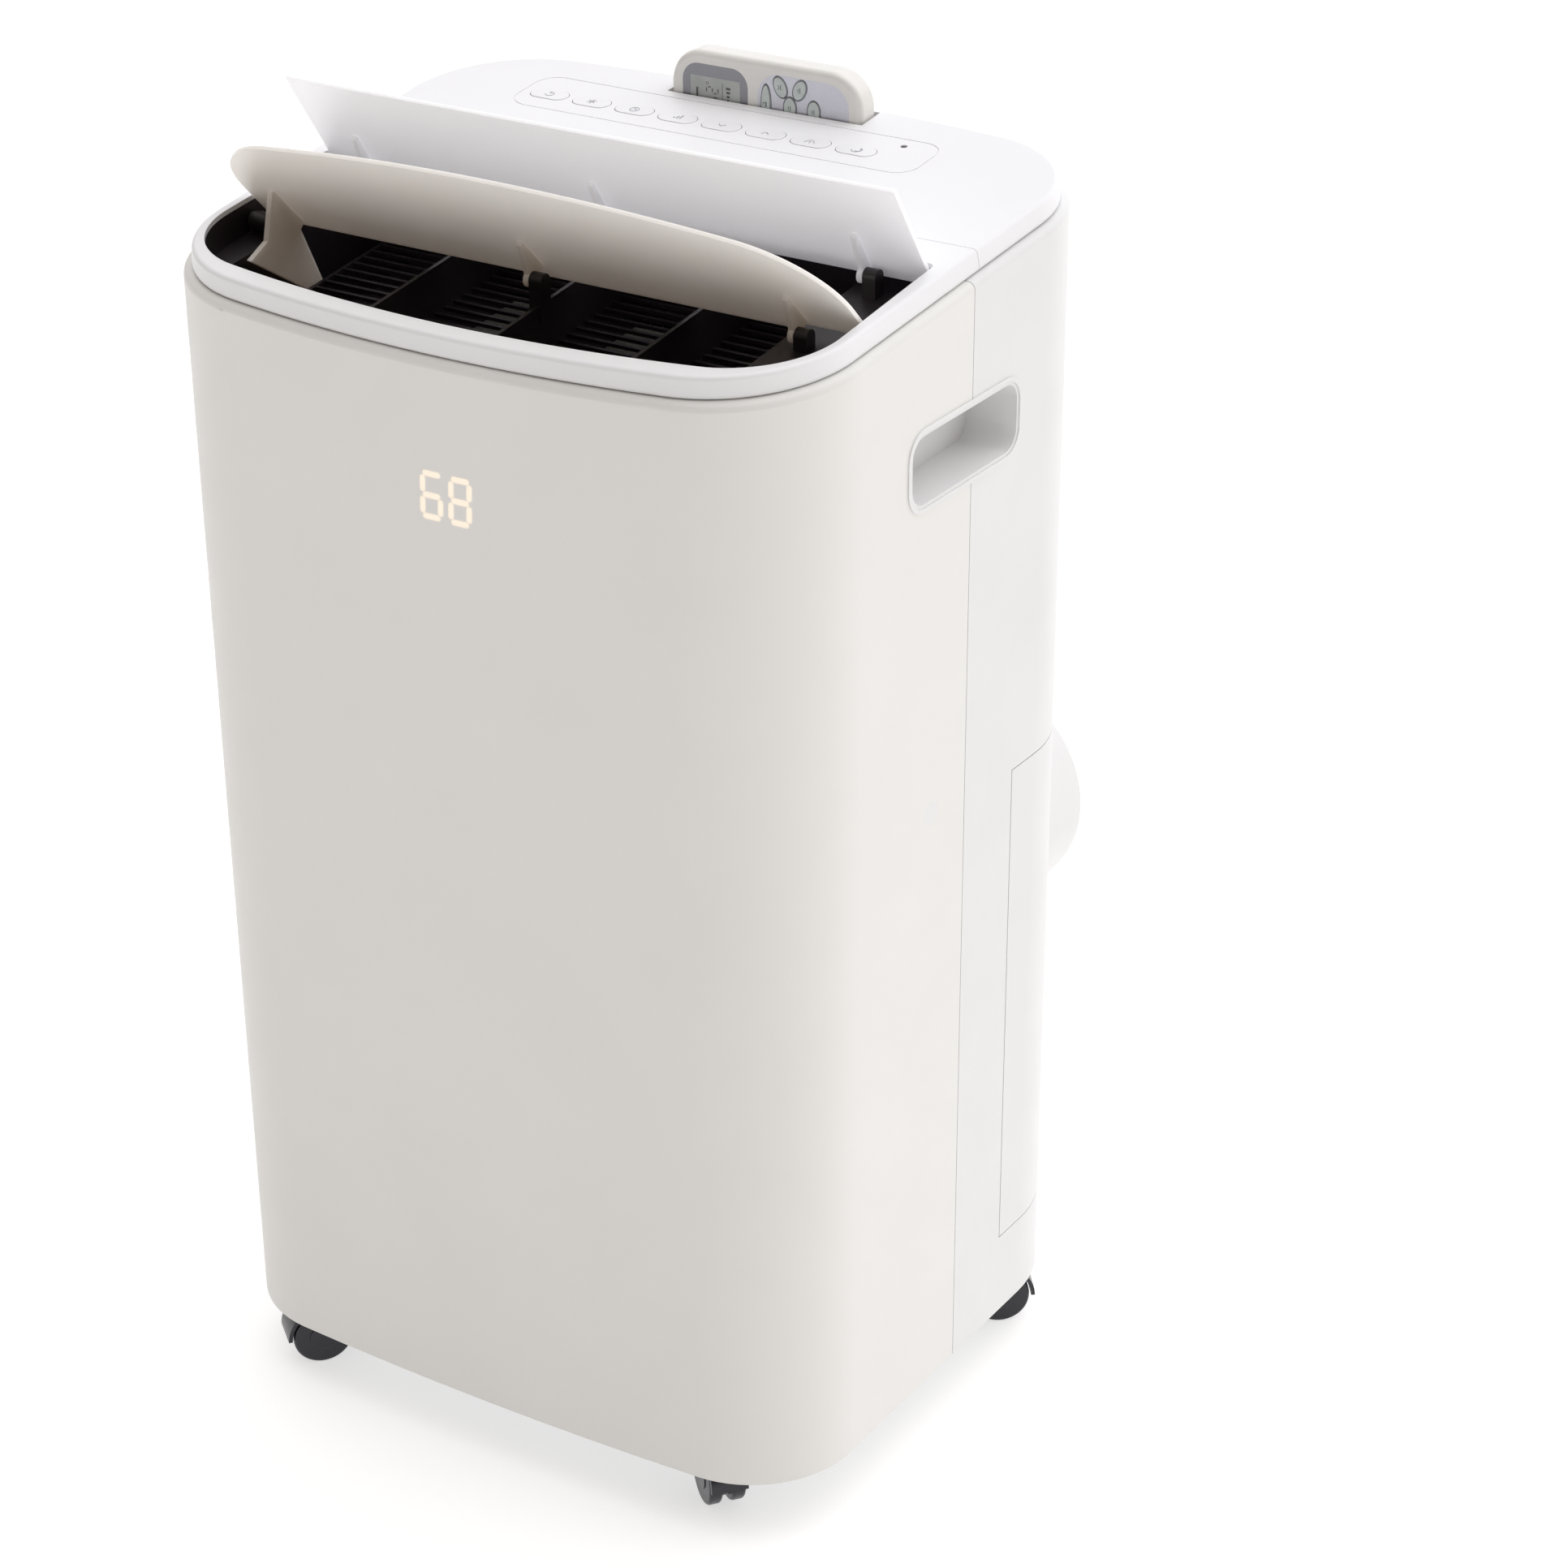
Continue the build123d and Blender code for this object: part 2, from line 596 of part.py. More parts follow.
with BuildPart() as outlet_duct:
    with BuildSketch(RIM_PLANE.offset(-COVER_WALL)):
        add(duct_plan(DUCT_WALL))
    extrude(amount=-DUCT_DEPTH)
    with BuildSketch(RIM_PLANE.offset(-COVER_WALL)):
        add(duct_plan())
    extrude(amount=-DUCT_DEPTH, mode=Mode.SUBTRACT)
    for shelf_low, shelf_high, wall_low, wall_high in SHELVES:
        with BuildSketch(RIM_PLANE.offset(-SHELF_DROP)):
            add(duct_plan(x_range=(shelf_low, shelf_high)))
        extrude(amount=-DUCT_WALL)
        with BuildSketch(RIM_PLANE.offset(-SHELF_DROP)):
            add(duct_plan(x_range=(wall_low, wall_high)))
        extrude(amount=SHELF_DROP - DUCT_BOTTOM_DROP)
    for divider_x in DIVIDER_X:
        with BuildSketch(RIM_PLANE.offset(-DIVIDER_DROP)):
            add(duct_plan(x_range=(divider_x - DIVIDER / 2, divider_x + DIVIDER / 2)))
        extrude(amount=DIVIDER_DROP - DUCT_BOTTOM_DROP)
    for row in range(GUARD_ROWS):
        guard_v = OPENING_REAR_V - row * GUARD_PITCH
        with BuildSketch(RIM_PLANE.offset(-GUARD_DROP)):
            with Locations(((GUARD_LEFT_X + SHELF_RIGHT_X) / 2, guard_v)):
                Rectangle(SHELF_RIGHT_X - GUARD_LEFT_X, GUARD_BAR)
        extrude(amount=-GUARD_BAR)
    with BuildSketch(RIM_PLANE.offset(-GUARD_DROP)):
        add(duct_plan(x_range=(GUARD_LEFT_X, GUARD_LEFT_X + DIVIDER)))
    extrude(amount=GUARD_DROP - DUCT_BOTTOM_DROP)
    with BuildSketch(RIM_PLANE.offset(-DUCT_BOTTOM_DROP)):
        add(duct_plan(x_range=THROAT_X))
        with Locations(((UPPER_DUCT_X[0] + UPPER_DUCT_X[1]) / 2, sum(UPPER_SCROLL_Y) / 2)):
            Rectangle(
                UPPER_DUCT_X[1] - UPPER_DUCT_X[0],
                UPPER_SCROLL_Y[1] - UPPER_SCROLL_Y[0],
                mode=Mode.SUBTRACT,
            )
    extrude(amount=DUCT_WALL)
    for pivot in (FRONT_PIVOT, REAR_PIVOT):
        for bearing_x in BEARING_X:
            bearing(pivot, bearing_x, BEARING_LENGTH)
            bearing_bore(pivot, bearing_x, PIN_LENGTH + SIDE_PLAY)
        with BuildSketch(Plane.YZ.offset(SWING_MOTOR_X[0])):
            with Locations(pivot):
                Rectangle(SWING_MOTOR_RADIUS, SWING_MOTOR_POST, align=(Align.CENTER, Align.MAX))
            with Locations(pivot):
                Circle(SWING_MOTOR_RADIUS, mode=Mode.SUBTRACT)
        extrude(amount=SWING_MOTOR_X[1] - SWING_MOTOR_X[0])
save(outlet_duct, "outlet_duct")

# ---------------------------------------------------------------- flaps
FLAP_V = {
    "front": (-REACH, FRONT_PLATE_END_V),
    "rear": REAR_PLATE_V,
}


def flap_plan(which, pivot_v):
    """One flap's plan, measured from its pivot along the closed top."""
    low, high = FLAP_V[which]
    with BuildSketch(mode=Mode.PRIVATE) as plan:
        with Locations((0, -pivot_v)):
            add(opening_outline(FLAP_GAP))
        with Locations((0, (low + high) / 2 - pivot_v)):
            Rectangle(2 * REACH, high - low, mode=Mode.INTERSECT)
    return plan.sketch


def rib(plane, x, profile, pin_side, pin_length):
    """A rib under a flap, given by its side view, with a boss and a pin on the pivot axis."""
    side_plane = Plane(plane.from_local_coords((x, 0, 0)), x_dir=plane.y_dir, z_dir=(1, 0, 0))
    with BuildSketch(side_plane.offset(-FLAP_RIB / 2)) as web:
        with BuildLine():
            Polyline(*profile, close=True)
        make_face()
        Circle(BOSS_RADIUS)
    extrude(web.sketch, amount=FLAP_RIB)
    with BuildSketch(side_plane) as pin:
        Circle(PIN_RADIUS)
    extrude(pin.sketch, amount=pin_side * (FLAP_RIB / 2 + pin_length))


FRONT_FLAP_PLANE = flap_plane(FRONT_PIVOT_V, FRONT_PIVOT_DROP, FRONT_OPEN)
REAR_FLAP_PLANE = flap_plane(REAR_PIVOT_V, REAR_PIVOT_DROP, REAR_OPEN)
FRONT_UNDER = FRONT_PIVOT_DROP - FLAP / 2
REAR_UNDER = REAR_PIVOT_DROP - FLAP / 2
RIB_TIP = FLAP / 2 + 2.5
# side views of the ribs, from the pivot: towards the hinge edge, then up to the flap
FRONT_RIB = (
    (BOSS_RADIUS, 0), (BOSS_RADIUS, FRONT_UNDER), (-24, FRONT_UNDER),
    (-22, FRONT_UNDER - RIB_TIP), (-BOSS_RADIUS, 0),
)
REAR_RIB = (
    (BOSS_RADIUS, 0), (BOSS_RADIUS, REAR_UNDER), (-28, REAR_UNDER),
    (-26, REAR_UNDER - RIB_TIP), (-BOSS_RADIUS, 0),
)
FRONT_ARM = (
    (14, FRONT_UNDER), (-21, FRONT_UNDER), (-22, 9), (-8, -14),
    (-14, -30), (53, -15), (55, -8), (14, 6),
)
ARM_PIN = FRONT_ARM_X - FLAP_RIB / 2 - SWING_MOTOR_X[1]
REAR_ARM_PIN = REAR_ARM_X - FLAP_RIB / 2 - SWING_MOTOR_X[1]

with BuildPart() as front_flap:
    with BuildSketch(FRONT_FLAP_PLANE.offset(FRONT_PIVOT_DROP)):
        add(flap_plan("front", FRONT_PIVOT_V))
        for notch_x, notch_side in zip(NOTCH_X, (Align.MAX, Align.MIN)):
            with Locations((notch_x, NOTCH_V - FRONT_PIVOT_V)):
                Rectangle(REACH, REACH, align=(notch_side, Align.MIN), mode=Mode.SUBTRACT)
    extrude(amount=-FLAP)
    rib(FRONT_FLAP_PLANE, FRONT_ARM_X, FRONT_ARM, -1, ARM_PIN + PIN_LENGTH)
    rib(FRONT_FLAP_PLANE, RIB_MIDDLE_X, FRONT_RIB, 1, PIN_LENGTH)
    rib(FRONT_FLAP_PLANE, RIB_RIGHT_X, FRONT_RIB, 1, PIN_LENGTH)
save(front_flap, "front_flap")

with BuildPart() as rear_flap:
    with BuildSketch(REAR_FLAP_PLANE.offset(REAR_PIVOT_DROP)):
        add(flap_plan("rear", REAR_PIVOT_V))
    extrude(amount=-FLAP)
    rib(REAR_FLAP_PLANE, REAR_ARM_X, REAR_RIB, -1, REAR_ARM_PIN + PIN_LENGTH)
    rib(REAR_FLAP_PLANE, RIB_MIDDLE_X, REAR_RIB, 1, PIN_LENGTH)
    rib(REAR_FLAP_PLANE, RIB_RIGHT_X, REAR_RIB, 1, PIN_LENGTH)
save(rear_flap, "rear_flap")

with BuildPart() as swing_motors:
    for pivot in (FRONT_PIVOT, REAR_PIVOT):
        with BuildSketch(Plane.YZ.offset(SWING_MOTOR_X[0])):
            with Locations(pivot):
                Circle(SWING_MOTOR_RADIUS)
        extrude(amount=SWING_MOTOR_X[1] - SWING_MOTOR_X[0])
        with BuildSketch(Plane.YZ.offset(SWING_MOTOR_X[1])):
            with Locations(pivot):
                Circle(PIN_RADIUS + PIN_CLEARANCE)
        extrude(amount=-PIN_LENGTH - SIDE_PLAY, mode=Mode.SUBTRACT)
save(swing_motors, "swing_motors")

# ---------------------------------------------------------------- remote control
REMOTE_FRONT_Y = REMOTE_Y - REMOTE_THICKNESS / 2
REMOTE_MIDDLE_Z = REMOTE_BOTTOM_Z + REMOTE_WIDTH / 2
# sketches on the remote's front: first axis along its length from the middle, second across it
REMOTE_FACE = Plane((0, REMOTE_FRONT_Y, REMOTE_MIDDLE_Z), x_dir=(1, 0, 0), z_dir=(0, -1, 0))


def along(from_top):
    """Place along the remote's length of a point at a distance from its top end."""
    return from_top - REMOTE_LENGTH / 2


def key_outline(key, margin=0.0):
    """One key's ellipse on the remote's face, grown by a margin."""
    name, from_top, across, length, width, turn = key
    with BuildSketch(mode=Mode.PRIVATE) as plan:
        with Locations(Location((along(from_top), across, 0), (0, 0, turn))):
            Ellipse(length / 2 + margin, width / 2 + margin)
    return plan.sketch


with BuildPart() as remote_case:
    with BuildSketch(REMOTE_FACE):
        RectangleRounded(REMOTE_LENGTH, REMOTE_WIDTH, REMOTE_END_RADIUS)
    extrude(amount=-REMOTE_THICKNESS)
    fillet(remote_case.faces().filter_by(Axis.Y).edges(), REMOTE_EDGE_RADIUS)
    with BuildSketch(REMOTE_FACE):
        with Locations((along(BEZEL_FROM_TOP), 0)):
            RectangleRounded(*BEZEL_SIZE, BEZEL_RADIUS)
        with Locations((along(PANEL_FROM_TOP), 0)):
            RectangleRounded(*PANEL_SIZE, PANEL_END_RADIUS)
    extrude(amount=-FACE_DEPTH, mode=Mode.SUBTRACT)
    with BuildSketch(REMOTE_FACE):
        for key in KEYS:
            add(key_outline(key, KEY_GAP))
    extrude(amount=-FACE_DEPTH - KEY_DEPTH, mode=Mode.SUBTRACT)
save(remote_case, "remote_case")

with BuildPart() as remote_plates:
    with BuildSketch(REMOTE_FACE):
        with Locations((along(BEZEL_FROM_TOP), 0)):
            RectangleRounded(*BEZEL_SIZE, BEZEL_RADIUS)
        with Locations((along(PANEL_FROM_TOP), 0)):
            RectangleRounded(*PANEL_SIZE, PANEL_END_RADIUS)
        for key in KEYS:
            add(key_outline(key, KEY_GAP), mode=Mode.SUBTRACT)
    extrude(amount=-FACE_DEPTH)
    with BuildSketch(REMOTE_FACE):
        with Locations((along(BEZEL_FROM_TOP), 0)):
            Rectangle(*LCD_SIZE)
    extrude(amount=-LCD_DEPTH, mode=Mode.SUBTRACT)
save(remote_plates, "remote_plates")

with BuildPart() as remote_lcd:
    with BuildSketch(REMOTE_FACE):
        with Locations((along(BEZEL_FROM_TOP), 0)):
            Rectangle(*LCD_SIZE)
    extrude(amount=-LCD_DEPTH)
save(remote_lcd, "remote_lcd")

for key in KEYS:
    with BuildPart() as remote_key:
        with BuildSketch(REMOTE_FACE.offset(KEY_PROUD)):
            add(key_outline(key))
        extrude(amount=-KEY_PROUD - FACE_DEPTH)
        fillet(remote_key.faces().sort_by(Axis.Y)[0].edges(), KEY_PROUD / 2)
    save(remote_key, f"key_{key[0]}")

# ---------------------------------------------------------------- side pieces
HANDLE_FLOOR_X = FRONT_HALF - HANDLE_DEPTH

with BuildPart() as handle_cup:
    with BuildSketch(Plane.YZ.offset(HANDLE_FLOOR_X)):
        with Locations((HANDLE_Y, HANDLE_Z)):
            RectangleRounded(HANDLE_LENGTH, HANDLE_HEIGHT, HANDLE_RADIUS)
    extrude(amount=REACH)
    add(casing_block.part, mode=Mode.INTERSECT)
    with BuildSketch(Plane.YZ.offset(HANDLE_FLOOR_X + HANDLE_WALL)):
        with Locations((HANDLE_Y, HANDLE_Z)):
            RectangleRounded(
                HANDLE_LENGTH - 2 * HANDLE_WALL,
                HANDLE_HEIGHT - 2 * HANDLE_WALL,
                HANDLE_RADIUS - HANDLE_WALL,
            )
    extrude(amount=REACH, mode=Mode.SUBTRACT)

with BuildPart() as side_handles:
    add(handle_cup.part)
    mirror(about=Plane.YZ)
save(side_handles, "side_handles")

with BuildPart() as side_plug:
    with BuildSketch(Plane.YZ.offset(FRONT_HALF - WALL)):
        with Locations((PLUG_Y, PLUG_Z)):
            Circle(PLUG_RADIUS)
    extrude(amount=REACH)
    add(casing_block.part, mode=Mode.INTERSECT)

with BuildPart() as side_plugs:
    add(side_plug.part)
    mirror(about=Plane.YZ)
save(side_plugs, "side_plugs")


# ---------------------------------------------------------------- back pieces
def rear_bar(x, z, radius, low_y, high_y, mode=Mode.ADD):
    """A round bar along Y at x and z, between two values of Y."""
    with BuildSketch(Plane.XZ.offset(-low_y)) as disc:
        with Locations((x, z)):
            Circle(radius)
    extrude(disc.sketch, amount=low_y - high_y, mode=mode)


def rear_surface_y(x):
    """Y of the casing's bowed rear, by its rise over the straight line between the corners."""
    return REAR_Y + REAR_BULGE * (1 - (x / REAR_HALF) ** 2)


with BuildPart() as hose_collar:
    rear_bar(COLLAR_X, COLLAR_Z, COLLAR_RADIUS, COLLAR_START_Y, COLLAR_END_Y)
    rear_bar(COLLAR_X, COLLAR_Z, COLLAR_BORE, COLLAR_START_Y, COLLAR_END_Y, Mode.SUBTRACT)
save(hose_collar, "hose_collar")

SPOUT_START_Y = REAR_Y - 16.0
SPOUT_END_Y = rear_surface_y(DRAIN_X) + 4.0
CAP_PLUG = 10.0
CAP_HEAD = 3.0
CAP_GAP = 0.15

with BuildPart() as drain_spouts:
    for drain_z in (UPPER_DRAIN_Z, LOWER_DRAIN_Z):
        rear_bar(DRAIN_X, drain_z, DRAIN_RADIUS, SPOUT_START_Y, SPOUT_END_Y)
        rear_bar(DRAIN_X, drain_z, DRAIN_BORE, SPOUT_START_Y, SPOUT_END_Y, Mode.SUBTRACT)
save(drain_spouts, "drain_spouts")

for drain_name, drain_z in (("upper", UPPER_DRAIN_Z), ("lower", LOWER_DRAIN_Z)):
    with BuildPart() as drain_cap:
        rear_bar(DRAIN_X, drain_z, DRAIN_BORE - CAP_GAP, SPOUT_END_Y - CAP_PLUG, SPOUT_END_Y)
        rear_bar(DRAIN_X, drain_z, DRAIN_RADIUS, SPOUT_END_Y, SPOUT_END_Y + CAP_HEAD)
        fillet(drain_cap.faces().sort_by(Axis.Y)[-1].edges(), CAP_HEAD / 3)
    save(drain_cap, f"drain_cap_{drain_name}")

GLAND_START_Y = rear_surface_y(GLAND_X) - 3 * WALL
GLAND_END_Y = rear_surface_y(GLAND_X) + WALL
with BuildPart() as cord_gland:
    rear_bar(GLAND_X, GLAND_Z, GLAND_RADIUS, GLAND_START_Y, GLAND_END_Y)
    rear_bar(GLAND_X, GLAND_Z, GLAND_BORE, GLAND_START_Y, GLAND_END_Y, Mode.SUBTRACT)
save(cord_gland, "cord_gland")

# ---------------------------------------------------------------- base pan and casters
CASTER_SPOTS = [(x, y) for name, x, y, turn in CASTERS]

with BuildPart() as base_pan:
    with BuildSketch(Plane.XY.offset(PAN_Z)):
        add(casing_outline(0, WALL + PAN_GAP))
    extrude(amount=PAN_HEIGHT)
    with BuildSketch(Plane.XY.offset(PAN_Z + PAN_FLOOR)):
        add(casing_outline(0, WALL + PAN_GAP + PAN_FLOOR))
    extrude(amount=PAN_HEIGHT, mode=Mode.SUBTRACT)
    with BuildSketch(Plane.XY.offset(PAN_Z)):
        with Locations(*CASTER_SPOTS):
            Circle(STEM_RADIUS + 2 * PAN_FLOOR)
    extrude(amount=BOSS_TOP_Z - PAN_Z + PAN_FLOOR)
    with BuildSketch(Plane.XY.offset(PAN_Z)):
        with Locations(*CASTER_SPOTS):
            Circle(STEM_RADIUS + RUNNING_CLEARANCE)
    extrude(amount=BOSS_TOP_Z - PAN_Z, mode=Mode.SUBTRACT)
    rear_bar(DRAIN_X, LOWER_DRAIN_Z, DRAIN_RADIUS, REAR_Y - 50, REACH, Mode.SUBTRACT)
    rear_bar(GLAND_X, GLAND_Z, GLAND_RADIUS, REAR_Y - 50, REACH, Mode.SUBTRACT)
save(base_pan, "base_pan")

HOOD_HALF = WHEEL_GAP / 2 + WHEEL_WIDTH
WEB_PLAY = 0.3
for caster_name, caster_x, caster_y, turn in CASTERS:
    # the caster's own plane: its second axis points the way that the wheels trail
    swivel = Plane((caster_x, caster_y, 0)).rotated((0, 0, turn))
    axle_plane = Plane(
        swivel.from_local_coords((0, TRAIL, WHEEL_RADIUS)), x_dir=swivel.y_dir, z_dir=swivel.x_dir
    )
    hood_z = HOOD_TOP_Z - WHEEL_RADIUS
    with BuildPart() as caster_frame:
        with BuildSketch(axle_plane.offset(-WHEEL_GAP / 2 + WEB_PLAY)):
            Circle(WHEEL_RADIUS - 4)
            Rectangle(2 * (TRAIL + STEM_RADIUS), hood_z, align=(Align.CENTER, Align.MIN))
        extrude(amount=WHEEL_GAP - 2 * WEB_PLAY)
        with BuildSketch(axle_plane.offset(-HOOD_HALF)):
            Circle(hood_z)
            Circle(WHEEL_RADIUS + 1, mode=Mode.SUBTRACT)
            Rectangle(REACH, REACH, align=(Align.CENTER, Align.MAX), mode=Mode.SUBTRACT)
        extrude(amount=2 * HOOD_HALF)
        with BuildSketch(swivel.offset(2 * WHEEL_RADIUS)):
            Circle(STEM_RADIUS)
        extrude(amount=STEM_TOP_Z - 2 * WHEEL_RADIUS)
        with BuildSketch(axle_plane.offset(-HOOD_HALF)):
            Circle(AXLE_RADIUS + RUNNING_CLEARANCE)
        extrude(amount=2 * HOOD_HALF, mode=Mode.SUBTRACT)
    save(caster_frame, f"caster_frame_{caster_name}")
    with BuildPart() as caster_wheels:
        for wheel_start in (-HOOD_HALF, WHEEL_GAP / 2):
            with BuildSketch(axle_plane.offset(wheel_start)):
                Circle(WHEEL_RADIUS)
            extrude(amount=WHEEL_WIDTH)
        fillet(caster_wheels.edges().filter_by(GeomType.CIRCLE), 2.0)
        with BuildSketch(axle_plane.offset(-HOOD_HALF + 1)):
            Circle(AXLE_RADIUS)
        extrude(amount=2 * HOOD_HALF - 2)
    save(caster_wheels, f"caster_wheels_{caster_name}")

# ---------------------------------------------------------------- working parts inside
with BuildPart() as drain_tray:
    with BuildSketch(Plane.XY.offset(TRAY_Z)):
        add(casing_outline(0, WALL + 2 * TRAY_GAP))
    extrude(amount=TRAY_RIM)
    with BuildSketch(Plane.XY.offset(TRAY_Z + TRAY)):
        add(casing_outline(0, WALL + 2 * TRAY_GAP + TRAY))
    extrude(amount=TRAY_RIM, mode=Mode.SUBTRACT)
    with BuildSketch(Plane.XY.offset(TRAY_Z)):
        with Locations((LIQUID_X, sum(COIL_Y) / 2), SUCTION_RISER):
            Circle(PIPE_RADIUS + TRAY)
    extrude(amount=TRAY, mode=Mode.SUBTRACT)
save(drain_tray, "drain_tray")


def coil(x_range, z_range):
    """A finned heat exchanger block with its row of return bends at one end."""
    middle_y = sum(COIL_Y) / 2
    middle_z = sum(z_range) / 2
    height = z_range[1] - z_range[0]
    with Locations((sum(x_range) / 2, middle_y, middle_z)):
        Box(x_range[1] - x_range[0], COIL_Y[1] - COIL_Y[0], height)
    with BuildSketch(Plane.YZ.offset(x_range[1])) as bends:
        with Locations((middle_y, middle_z)):
            with GridLocations(COIL_PITCH, COIL_PITCH, 1, int(height // COIL_PITCH)):
                SlotOverall(COIL_PITCH, 2 * COIL_TUBE)
    extrude(bends.sketch, amount=COIL_BEND)


with BuildPart() as evaporator_coil:
    coil(EVAPORATOR_X, EVAPORATOR_Z)
save(evaporator_coil, "evaporator_coil")

with BuildPart() as condenser_coil:
    coil(CONDENSER_X, CONDENSER_Z)
save(condenser_coil, "condenser_coil")


def block(x_range, y_range, z_range, mode=Mode.ADD):
    """A box given by its limits along each axis."""
    ranges = (x_range, y_range, z_range)
    with Locations(tuple(sum(r) / 2 for r in ranges)):
        Box(*[r[1] - r[0] for r in ranges], mode=mode)


def shrink(limits, amount):
    """The same limits, each moved inwards."""
    return (limits[0] + amount, limits[1] - amount)


def fan_openings(fan, y_range):
    """The round intake in a scroll's rear wall and the motor's hole in its front wall."""
    rear_bar(*fan, INTAKE_RADIUS, sum(y_range) / 2, y_range[1], Mode.SUBTRACT)
    rear_bar(*fan, 2 * SHAFT_RADIUS, y_range[0], sum(y_range) / 2, Mode.SUBTRACT)


with BuildPart() as upper_scroll:
    rear_bar(*UPPER_FAN, SCROLL_RADIUS, *UPPER_SCROLL_Y)
    block(UPPER_DUCT_X, UPPER_SCROLL_Y, (UPPER_FAN[1], REACH))
    split(bisect_by=RIM_PLANE.offset(-DUCT_BOTTOM_DROP), keep=Keep.BOTTOM)
    rear_bar(*UPPER_FAN, SCROLL_RADIUS - SCROLL_WALL, *shrink(UPPER_SCROLL_Y, SCROLL_WALL),
             Mode.SUBTRACT)
    block(shrink(UPPER_DUCT_X, SCROLL_WALL), shrink(UPPER_SCROLL_Y, SCROLL_WALL),
          (UPPER_FAN[1] + SCROLL_WALL, REACH), Mode.SUBTRACT)
    fan_openings(UPPER_FAN, UPPER_SCROLL_Y)
save(upper_scroll, "upper_scroll")

with BuildPart() as lower_scroll:
    rear_bar(*LOWER_FAN, SCROLL_RADIUS, *LOWER_SCROLL_Y)
    block(LOWER_DUCT_X, LOWER_SCROLL_Y, LOWER_DUCT_Z)
    block(COLLAR_BOX_X, (LOWER_SCROLL_Y[0], COLLAR_START_Y), COLLAR_BOX_Z)
    rear_bar(*LOWER_FAN, SCROLL_RADIUS - SCROLL_WALL, *shrink(LOWER_SCROLL_Y, SCROLL_WALL),
             Mode.SUBTRACT)
    block(shrink(LOWER_DUCT_X, SCROLL_WALL), shrink(LOWER_SCROLL_Y, SCROLL_WALL),
          shrink(LOWER_DUCT_Z, SCROLL_WALL), Mode.SUBTRACT)
    block(shrink(COLLAR_BOX_X, SCROLL_WALL),
          shrink((LOWER_SCROLL_Y[0], COLLAR_START_Y), SCROLL_WALL),
          shrink(COLLAR_BOX_Z, SCROLL_WALL), Mode.SUBTRACT)
    rear_bar(COLLAR_X, COLLAR_Z, COLLAR_BORE - SCROLL_WALL, 0, COLLAR_START_Y, Mode.SUBTRACT)
    fan_openings(LOWER_FAN, LOWER_SCROLL_Y)
save(lower_scroll, "lower_scroll")

FANS = (("upper", UPPER_FAN, UPPER_SCROLL_Y), ("lower", LOWER_FAN, LOWER_SCROLL_Y))

with BuildPart() as fan_motors:
    for fan_name, fan, scroll_y in FANS:
        rear_bar(*fan, MOTOR_RADIUS, scroll_y[0] - MOTOR_LENGTH, scroll_y[0])
        rear_bar(*fan, SHAFT_RADIUS, scroll_y[0], scroll_y[1] - SCROLL_WALL - FAN_PLAY)
save(fan_motors, "fan_motors")

for fan_name, fan, scroll_y in FANS:
    fan_y = shrink(scroll_y, SCROLL_WALL + FAN_PLAY)
    with BuildPart() as blower_wheel:
        rear_bar(*fan, FAN_RADIUS, fan_y[0], fan_y[0] + BACK_PLATE)
        rear_bar(*fan, HUB_RADIUS, fan_y[0], fan_y[0] + 2 * HUB_RADIUS)
        rear_bar(*fan, FAN_RADIUS, fan_y[1] - BACK_PLATE, fan_y[1])
        rear_bar(*fan, FAN_RADIUS - FAN_BLADE_DEPTH, fan_y[1] - BACK_PLATE, fan_y[1], Mode.SUBTRACT)
        with BuildSketch(Plane.XZ.offset(-fan_y[0])) as blades:
            with Locations(fan):
                with PolarLocations(FAN_RADIUS - FAN_BLADE_DEPTH / 2, BLADE_COUNT):
                    Rectangle(FAN_BLADE_DEPTH - BLADE, BLADE, rotation=35)
        extrude(blades.sketch, amount=fan_y[0] - fan_y[1])
        rear_bar(*fan, SHAFT_RADIUS + SHAFT_CLEARANCE, *fan_y, Mode.SUBTRACT)
    save(blower_wheel, f"blower_wheel_{fan_name}")

with BuildPart() as compressor:
    with BuildSketch(Plane.XY.offset(COMPRESSOR_Z[0])):
        with Locations(COMPRESSOR):
            Circle(COMPRESSOR_RADIUS)
    extrude(amount=COMPRESSOR_Z[1] - COMPRESSOR_Z[0])
    fillet(compressor.faces().filter_by(Axis.Z).edges(), COMPRESSOR_RADIUS / 3)
    with BuildSketch(Plane.XY.offset(ACCUMULATOR_Z[0])):
        with Locations(ACCUMULATOR):
            Circle(ACCUMULATOR_RADIUS)
    extrude(amount=ACCUMULATOR_Z[1] - ACCUMULATOR_Z[0])
save(compressor, "compressor")

with BuildPart() as compressor_mounts:
    with BuildSketch(Plane.XY.offset(PAN_Z + PAN_FLOOR)):
        with Locations(COMPRESSOR):
            with PolarLocations(COMPRESSOR_RADIUS / 2, 3):
                Circle(MOUNT_RADIUS)
    extrude(amount=COMPRESSOR_Z[0] - PAN_Z - PAN_FLOOR)
save(compressor_mounts, "compressor_mounts")

